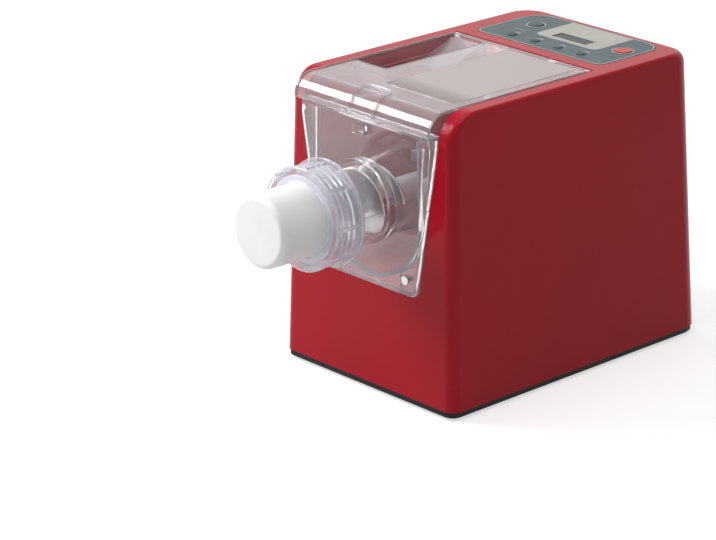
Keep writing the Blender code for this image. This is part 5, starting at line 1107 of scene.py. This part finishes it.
class PASTAMAKER_OT_front_plate(Operator):
    """Build the clear front plate with the extruder tube and the two screws"""
    bl_idname = "pasta_maker.front_plate"
    bl_label = "Front Plate and Tube"

    def execute(self, context):
        wall = sizes().plate_wall
        turn = sizes().turn_steps
        past = PLATE_REAR + OVERRUN
        plate = plate_form("clear_front_plate", 0.0, PLATE_REAR)
        combine(plate, [plate_form("hollow", wall, past)], 'DIFFERENCE')
        rib = u_ring("rib", FRONT - 0.02, FRONT + 0.0022)
        combine(rib, [plate_form("limit", wall / 2.0, past)], 'INTERSECT')
        root = FRONT - 0.001
        tube = lathe_piece("tube", [(0.0, TUBE_END), (TUBE_R, TUBE_END), (TUBE_R, COLLAR - 0.0012),
                                    (COLLAR_R, COLLAR), (COLLAR_R, root), (0.0, root)],
                           (0.0, 0.0006, 0.0, 0.0008, 0.0, 0.0), turn, phase=0.017)
        combine(plate, [rib, tube, *self.tube_ribs(), self.catch()], 'UNION')
        bore = lathe_piece("bore", corners(0.0, TUBE_END - OVERRUN, BORE_R, past), (0.0,) * 4, turn,
                           phase=0.011)
        holes = [rod_piece("hole", 0.0023, 0.03, 24, (side * PLATE_SCREW_X, FRONT, PLATE_SCREW_Z),
                           QUARTER_TURN) for side in (-1.0, 1.0)]
        combine(plate, [bore, *holes], 'DIFFERENCE')
        soften(plate, 0.0005, 40.0)
        look = clear_plastic("plate_clear", 0.025, 0.06)
        finished(plate, "chamber", look, ("front_plate",), 35.0)
        for hand in ("left", "right"):
            refined("plate_screw_" + hand, brushed_steel(), 0.0004)
        return {'FINISHED'}

    def tube_ribs(self):
        """Side ribs, the bayonet lugs and the angled stop rib on the tube."""
        made = []
        for side in (-1.0, 1.0):
            near, far = sorted((side * 0.037, side * 0.0392))
            made.append(cuboid_piece("side_rib", (near, COLLAR - 0.036, AXIS_Z - 0.001),
                                     (far, COLLAR + 0.001, AXIS_Z + 0.001)))
        made += lugs(0.037, COLLAR_R, TUBE_END + 0.006)
        made.append(arc_block("stop_rib", 0.0375, 0.0393, COLLAR - 0.0225, COLLAR + 0.0005, 52.0,
                              2.0))
        made.append(arc_block("stop_end", 0.0374, 0.0391, COLLAR - 0.0026, COLLAR - 0.0010, 59.7,
                              18.6))
        return made

    def catch(self):
        """The small catch that the lid's lip closes over."""
        top = PLATE_TOP_Z - 0.005
        face = FRONT - plate_reach((top - OPENING_BASE_Z) / (PLATE_TOP_Z - OPENING_BASE_Z))
        return block_piece("catch", corners(-0.008, top - 0.010, 0.008, top), [0.002] * 4,
                           face - 0.0035, face + 0.001, "Y", steps=5)


class PASTAMAKER_OT_chamber(Operator):
    """Build the clear mixing chamber, its gasket and the paddle"""
    bl_idname = "pasta_maker.chamber"
    bl_label = "Mixing Chamber"

    def execute(self, context):
        clear = clear_plastic("chamber_clear", 0.04, 0.05)
        refined("mixing_chamber", clear, 0.0004)
        grey = moulded("gasket_grey", (0.16, 0.155, 0.17), 0.6, 0.1, 800.0, 0.00006)
        gasket = u_ring("gasket_ring", FRONT + 0.0025, PLATE_REAR)
        finished(gasket, "chamber", grey, ("chamber_gasket",))
        paddle = moulded("paddle_grey", (0.55, 0.55, 0.56), 0.42, 0.05)
        refined("mixing_paddle", paddle, 0.0008)
        return {'FINISHED'}


class PASTAMAKER_OT_ring_nut(Operator):
    """Build the clear ribbed ring nut"""
    bl_idname = "pasta_maker.ring_nut"
    bl_label = "Ring Nut"

    def execute(self, context):
        front, rear = NUT_LOW.y, NUT_HIGH.y
        neck = front + NUT_RIM
        profile = [(NUT_LIP_R, front), (NUT_RIM_R, front), (NUT_RIM_R, neck),
                   (NUT_BODY_R, front + 0.0050)]
        rounds = [0.0004, 0.0014, 0.0010, 0.0003]
        body_rear = rear - 0.003
        pitch = (body_rear - front - NUT_RIM) / (NUT_RIBS + 1.0)
        for i in range(NUT_RIBS):
            middle = neck + (i + 1) * pitch
            profile += [(NUT_BODY_R, middle - 0.0014), (NUT_RIB_R, middle - 0.0006),
                        (NUT_RIB_R, middle + 0.0006), (NUT_BODY_R, middle + 0.0014)]
            rounds += [0.0004, 0.0006, 0.0006, 0.0004]
        profile += [(NUT_BODY_R, body_rear), (NUT_REAR_R, body_rear), (NUT_REAR_R, rear),
                    (NUT_BORE_R, rear), (NUT_BORE_R, front + NUT_LIP), (NUT_LIP_R, front + NUT_LIP)]
        rounds += [0.0004, 0.0007, 0.0007, 0.0, 0.0, 0.0004]
        nut = lathe_piece("clear_ring_nut", profile, rounds, sizes().turn_steps)
        grips = [self.grip(i, front, rear) for i in range(NUT_GRIPS)]
        combine(nut, [*grips, *lugs(0.0383, 0.0423, TUBE_END + 0.0103)], 'UNION')
        soften(nut, 0.0003, 45.0)
        look = clear_plastic("nut_clear", 0.05, 0.20, (0.86, 0.86, 0.91))
        finished(nut, "ring", look, ("ring_nut",), 35.0)
        return {'FINISHED'}

    def grip(self, i, front, rear):
        """One of the lengthwise ribs that fingers grip."""
        bm = block(corners(0.0452, -0.00225, 0.0485, 0.00225), [0.0, 0.0012, 0.0012, 0.0],
                   front + 0.00225, rear - 0.002, "Y", steps=5)
        bmesh.ops.rotate(bm, verts=bm.verts, cent=(0.0, 0.0, 0.0),
                         matrix=Matrix.Rotation(2.0 * pi * i / NUT_GRIPS, 3, 'Y'))
        bmesh.ops.translate(bm, verts=bm.verts, vec=(0.0, 0.0, AXIS_Z))
        return object_from(bm, "grip")


class PASTAMAKER_OT_die(Operator):
    """Build the white pasta die with its rows of holes"""
    bl_idname = "pasta_maker.die"
    bl_label = "Pasta Die"

    def execute(self, context):
        tip, rear = DIE_LOW.y, DIE_HIGH.y
        step = rear - DIE_FLANGE
        profile = [(0.0, tip), (DIE_R, tip), (DIE_R, step), (DIE_FLANGE_R, step),
                   (DIE_FLANGE_R, rear), (DIE_BORE_R, rear), (DIE_BORE_R, tip + DIE_FLOOR),
                   (0.0, tip + DIE_FLOOR)]
        rounds = (0.0, 0.0055, 0.0006, 0.0006, 0.0006, 0.0, 0.003, 0.0)
        die = lathe_piece("white_die", profile, rounds, sizes().turn_steps, 10)
        holes = bmesh.new()
        for row in range(5):
            for column in range(4):
                place = ((column - 1.5) * DIE_HOLE_PITCH, tip + 0.012 + row * DIE_HOLE_PITCH,
                         AXIS_Z - 0.028)
                rod(holes, 0.0011, 0.022, 12, place)
        combine(die, [object_from(holes, "holes", recalculate=False)], 'DIFFERENCE')
        white = moulded("die_white", tuple(colours().die), 0.42, 0.02, 900.0)
        finished(die, "chamber", white, ("pasta_die",), 40.0)
        return {'FINISHED'}


class PASTAMAKER_OT_extrusion_screw(Operator):
    """Build the steel extrusion screw: one smooth helical flight on a growing core"""
    bl_idname = "pasta_maker.extrusion_screw"
    bl_label = "Extrusion Screw"

    def execute(self, context):
        front = TUBE_END + 0.004
        rear = front + FLIGHT_PITCH * FLIGHT_TURNS + FLIGHT_THICKNESS
        screw = lathe_piece("steel_screw", [(0.0, front), (CORE_FRONT_R, front),
                                            (CORE_REAR_R, rear), (0.0, rear)],
                            (0.0, 0.0015, 0.0005, 0.0), sizes().turn_steps, phase=0.023)
        peg = rod_piece("peg", PEG_R, PEG_LENGTH, 6, (0.0, rear + 0.004, AXIS_Z), QUARTER_TURN)
        combine(screw, [self.flight(rear), peg], 'UNION')
        soften(screw, 0.0003, 50.0)
        steel = moulded("polished_steel", (0.60, 0.60, 0.61), 0.24, 0.03, 1600.0, 0.00001,
                        metallic=1.0)
        finished(screw, "agitator", steel, ("extrusion_screw",), 35.0)
        return {'FINISHED'}

    def flight(self, rear):
        """The helical flight: its section spun about the axis and moved on with each step."""
        root, front = CORE_REAR_R - 0.0015, rear - FLIGHT_THICKNESS
        steps = sizes().turn_steps // 2
        bm = bmesh.new()
        face = rounded_face(bm, [(root, front, AXIS_Z), (root, rear, AXIS_Z),
                                 (FLIGHT_R, rear - 0.0002, AXIS_Z),
                                 (FLIGHT_R, front + 0.0002, AXIS_Z)], (0.0, 0.0, 0.0012, 0.0012), 4)
        bmesh.ops.delete(bm, geom=[face], context='FACES_ONLY')
        bmesh.ops.spin(bm, geom=list(bm.verts) + list(bm.edges), cent=(0.0, 0.0, AXIS_Z),
                       axis=(0.0, 1.0, 0.0), dvec=(0.0, -FLIGHT_PITCH / steps, 0.0),
                       angle=-2.0 * pi * FLIGHT_TURNS, steps=steps * FLIGHT_TURNS, use_merge=False)
        bmesh.ops.holes_fill(bm, edges=[edge for edge in bm.edges if edge.is_boundary], sides=0)
        return object_from(bm, "flight")


class PASTAMAKER_OT_inner_parts(Operator):
    """Give the drive, boards and small inner fittings their finishes"""
    bl_idname = "pasta_maker.inner_parts"
    bl_label = "Inner Parts"

    def execute(self, context):
        finishes = (
            (brushed_steel(), ("drive_shaft", "shaft_bearing", "idler_pin", "motor_shaft",
                               "motor_pinion", "motor_cradle")),
            (moulded("gear_nylon", (0.74, 0.72, 0.66), 0.45, 0.05), ("output_gear", "idler_gear")),
            (moulded("cast_alloy", (0.33, 0.34, 0.35), 0.5, 0.08, 600.0, 0.00008, metallic=0.7),
             ("gearbox_case", "gearbox_cover")),
            (moulded("motor_grey", (0.22, 0.23, 0.24), 0.45, 0.08, 600.0, 0.00005, metallic=0.6),
             ("motor_body",)),
            (moulded("board_green", (0.02, 0.12, 0.05), 0.5, 0.15, 500.0, 0.00005),
             ("power_board", "control_board")),
            (black_plastic(), ("motor_fan", "display_module", "lid_switch")),
            (rubber(), ("shaft_seal",)),
        )
        for material, nodes in finishes:
            for node in nodes:
                shown = frame["nodes"][node]
                shown.data.materials.clear()
                shown.data.materials.append(material)
        return {'FINISHED'}


# -------------------------------------------------------------------- stage

def soft_light(name, place, size, power):
    """A soft square lamp at a place, turned to the machine."""
    lamp = bpy.data.lights.new(name, 'AREA')
    lamp.shape = 'SQUARE'
    lamp.size = size
    lamp.energy = power
    holder = bpy.data.objects.new(name, lamp)
    holder.location = place
    holder.rotation_mode = 'QUATERNION'
    holder.rotation_quaternion = (Vector(AIM) - Vector(place)).to_track_quat('-Z', 'Y')
    bpy.context.scene.collection.objects.link(holder)


class PASTAMAKER_OT_stage(Operator):
    """Set up the camera, the white floor, the soft lights and the world"""
    bl_idname = "pasta_maker.stage"
    bl_label = "Stage"

    def execute(self, context):
        scene = context.scene
        self.camera(scene)
        bm = bmesh.new()
        bmesh.ops.create_grid(bm, x_segments=8, y_segments=8, size=4.0)
        floor = object_from(bm, "floor", recalculate=False)
        floor.data.materials.append(white_ground("floor_white", FLOOR_TONE, FLOOR_TONE))
        soft_light("key_light", (-1.45, -1.15, 1.35), sizes().softbox_size, 42.0)
        soft_light("top_light", (0.1, -0.2, 2.3), 1.6, 19.0)
        scene.world = self.world()
        scene.view_settings.view_transform = 'Standard'
        return {'FINISHED'}

    def world(self):
        """Grey light on the machine from all round, and white where the world itself is seen."""
        world = bpy.data.worlds.new("studio")
        world.use_nodes = True
        tree = world.node_tree
        plain = tree.nodes["Background"]
        white = tree.nodes.new("ShaderNodeBackground")
        for node, level in ((plain, WORLD_LEVEL), (white, 1.0)):
            node.inputs["Color"].default_value = (1.0, 1.0, 1.0, 1.0)
            node.inputs["Strength"].default_value = level
        mix_surface(tree, seen_white(tree), plain.outputs["Background"],
                    white.outputs["Background"], "World Output")
        return world

    def camera(self, scene):
        """The camera at the photograph's angle."""
        azimuth, elevation, roll = (radians(angle) for angle in CAMERA_ANGLES)
        level = cos(elevation)
        back = Vector((sin(azimuth) * level, -cos(azimuth) * level, sin(elevation)))
        right = (-back).cross(Vector((0.0, 0.0, 1.0))).normalized()
        up = right.cross(-back)
        right, up = cos(roll) * right + sin(roll) * up, cos(roll) * up - sin(roll) * right
        data = bpy.data.cameras.new("view")
        data.sensor_width = 36.0
        data.lens = CAMERA_LENS
        data.clip_start, data.clip_end = 0.1, 60.0
        holder = bpy.data.objects.new("view", data)
        turn = Matrix((right, up, back)).transposed().to_4x4()
        holder.matrix_world = Matrix.Translation(CAMERA_PLACE) @ turn
        scene.collection.objects.link(holder)
        scene.camera = holder


class PASTAMAKER_PT_pieces(Panel):
    """Lists the pieces of the pasta maker"""
    bl_idname = "PASTAMAKER_PT_pieces"
    bl_label = "Pasta Maker"
    bl_space_type = 'VIEW_3D'
    bl_region_type = 'UI'
    bl_category = "Pasta Maker"

    def draw(self, context):
        layout = self.layout
        for group in (context.scene.pasta_maker_sizes, context.scene.pasta_maker_colours):
            box = layout.box()
            for name in group.__annotations__:
                box.prop(group, name)
        for step in STEPS:
            layout.operator(step.bl_idname)


STEPS = (
    PASTAMAKER_OT_stage, PASTAMAKER_OT_housing, PASTAMAKER_OT_base, PASTAMAKER_OT_control_panel,
    PASTAMAKER_OT_lid, PASTAMAKER_OT_front_plate, PASTAMAKER_OT_chamber,
    PASTAMAKER_OT_extrusion_screw, PASTAMAKER_OT_ring_nut, PASTAMAKER_OT_die,
    PASTAMAKER_OT_inner_parts,
)
CLASSES = (PastaMakerSizes, PastaMakerColours, *STEPS, PASTAMAKER_PT_pieces)


def register():
    for one in CLASSES:
        bpy.utils.register_class(one)
    bpy.types.Scene.pasta_maker_sizes = PointerProperty(type=PastaMakerSizes)
    bpy.types.Scene.pasta_maker_colours = PointerProperty(type=PastaMakerColours)


def unregister():
    del bpy.types.Scene.pasta_maker_colours
    del bpy.types.Scene.pasta_maker_sizes
    for one in reversed(CLASSES):
        bpy.utils.unregister_class(one)


def main():
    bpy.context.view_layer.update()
    register()
    bpy.ops.pasta_maker.stage()
    bpy.ops.pasta_maker.housing()
    bpy.ops.pasta_maker.base()
    bpy.ops.pasta_maker.control_panel()
    bpy.ops.pasta_maker.lid()
    bpy.ops.pasta_maker.front_plate()
    bpy.ops.pasta_maker.chamber()
    bpy.ops.pasta_maker.extrusion_screw()
    bpy.ops.pasta_maker.ring_nut()
    bpy.ops.pasta_maker.die()
    bpy.ops.pasta_maker.inner_parts()


if __name__ == "__main__":
    main()
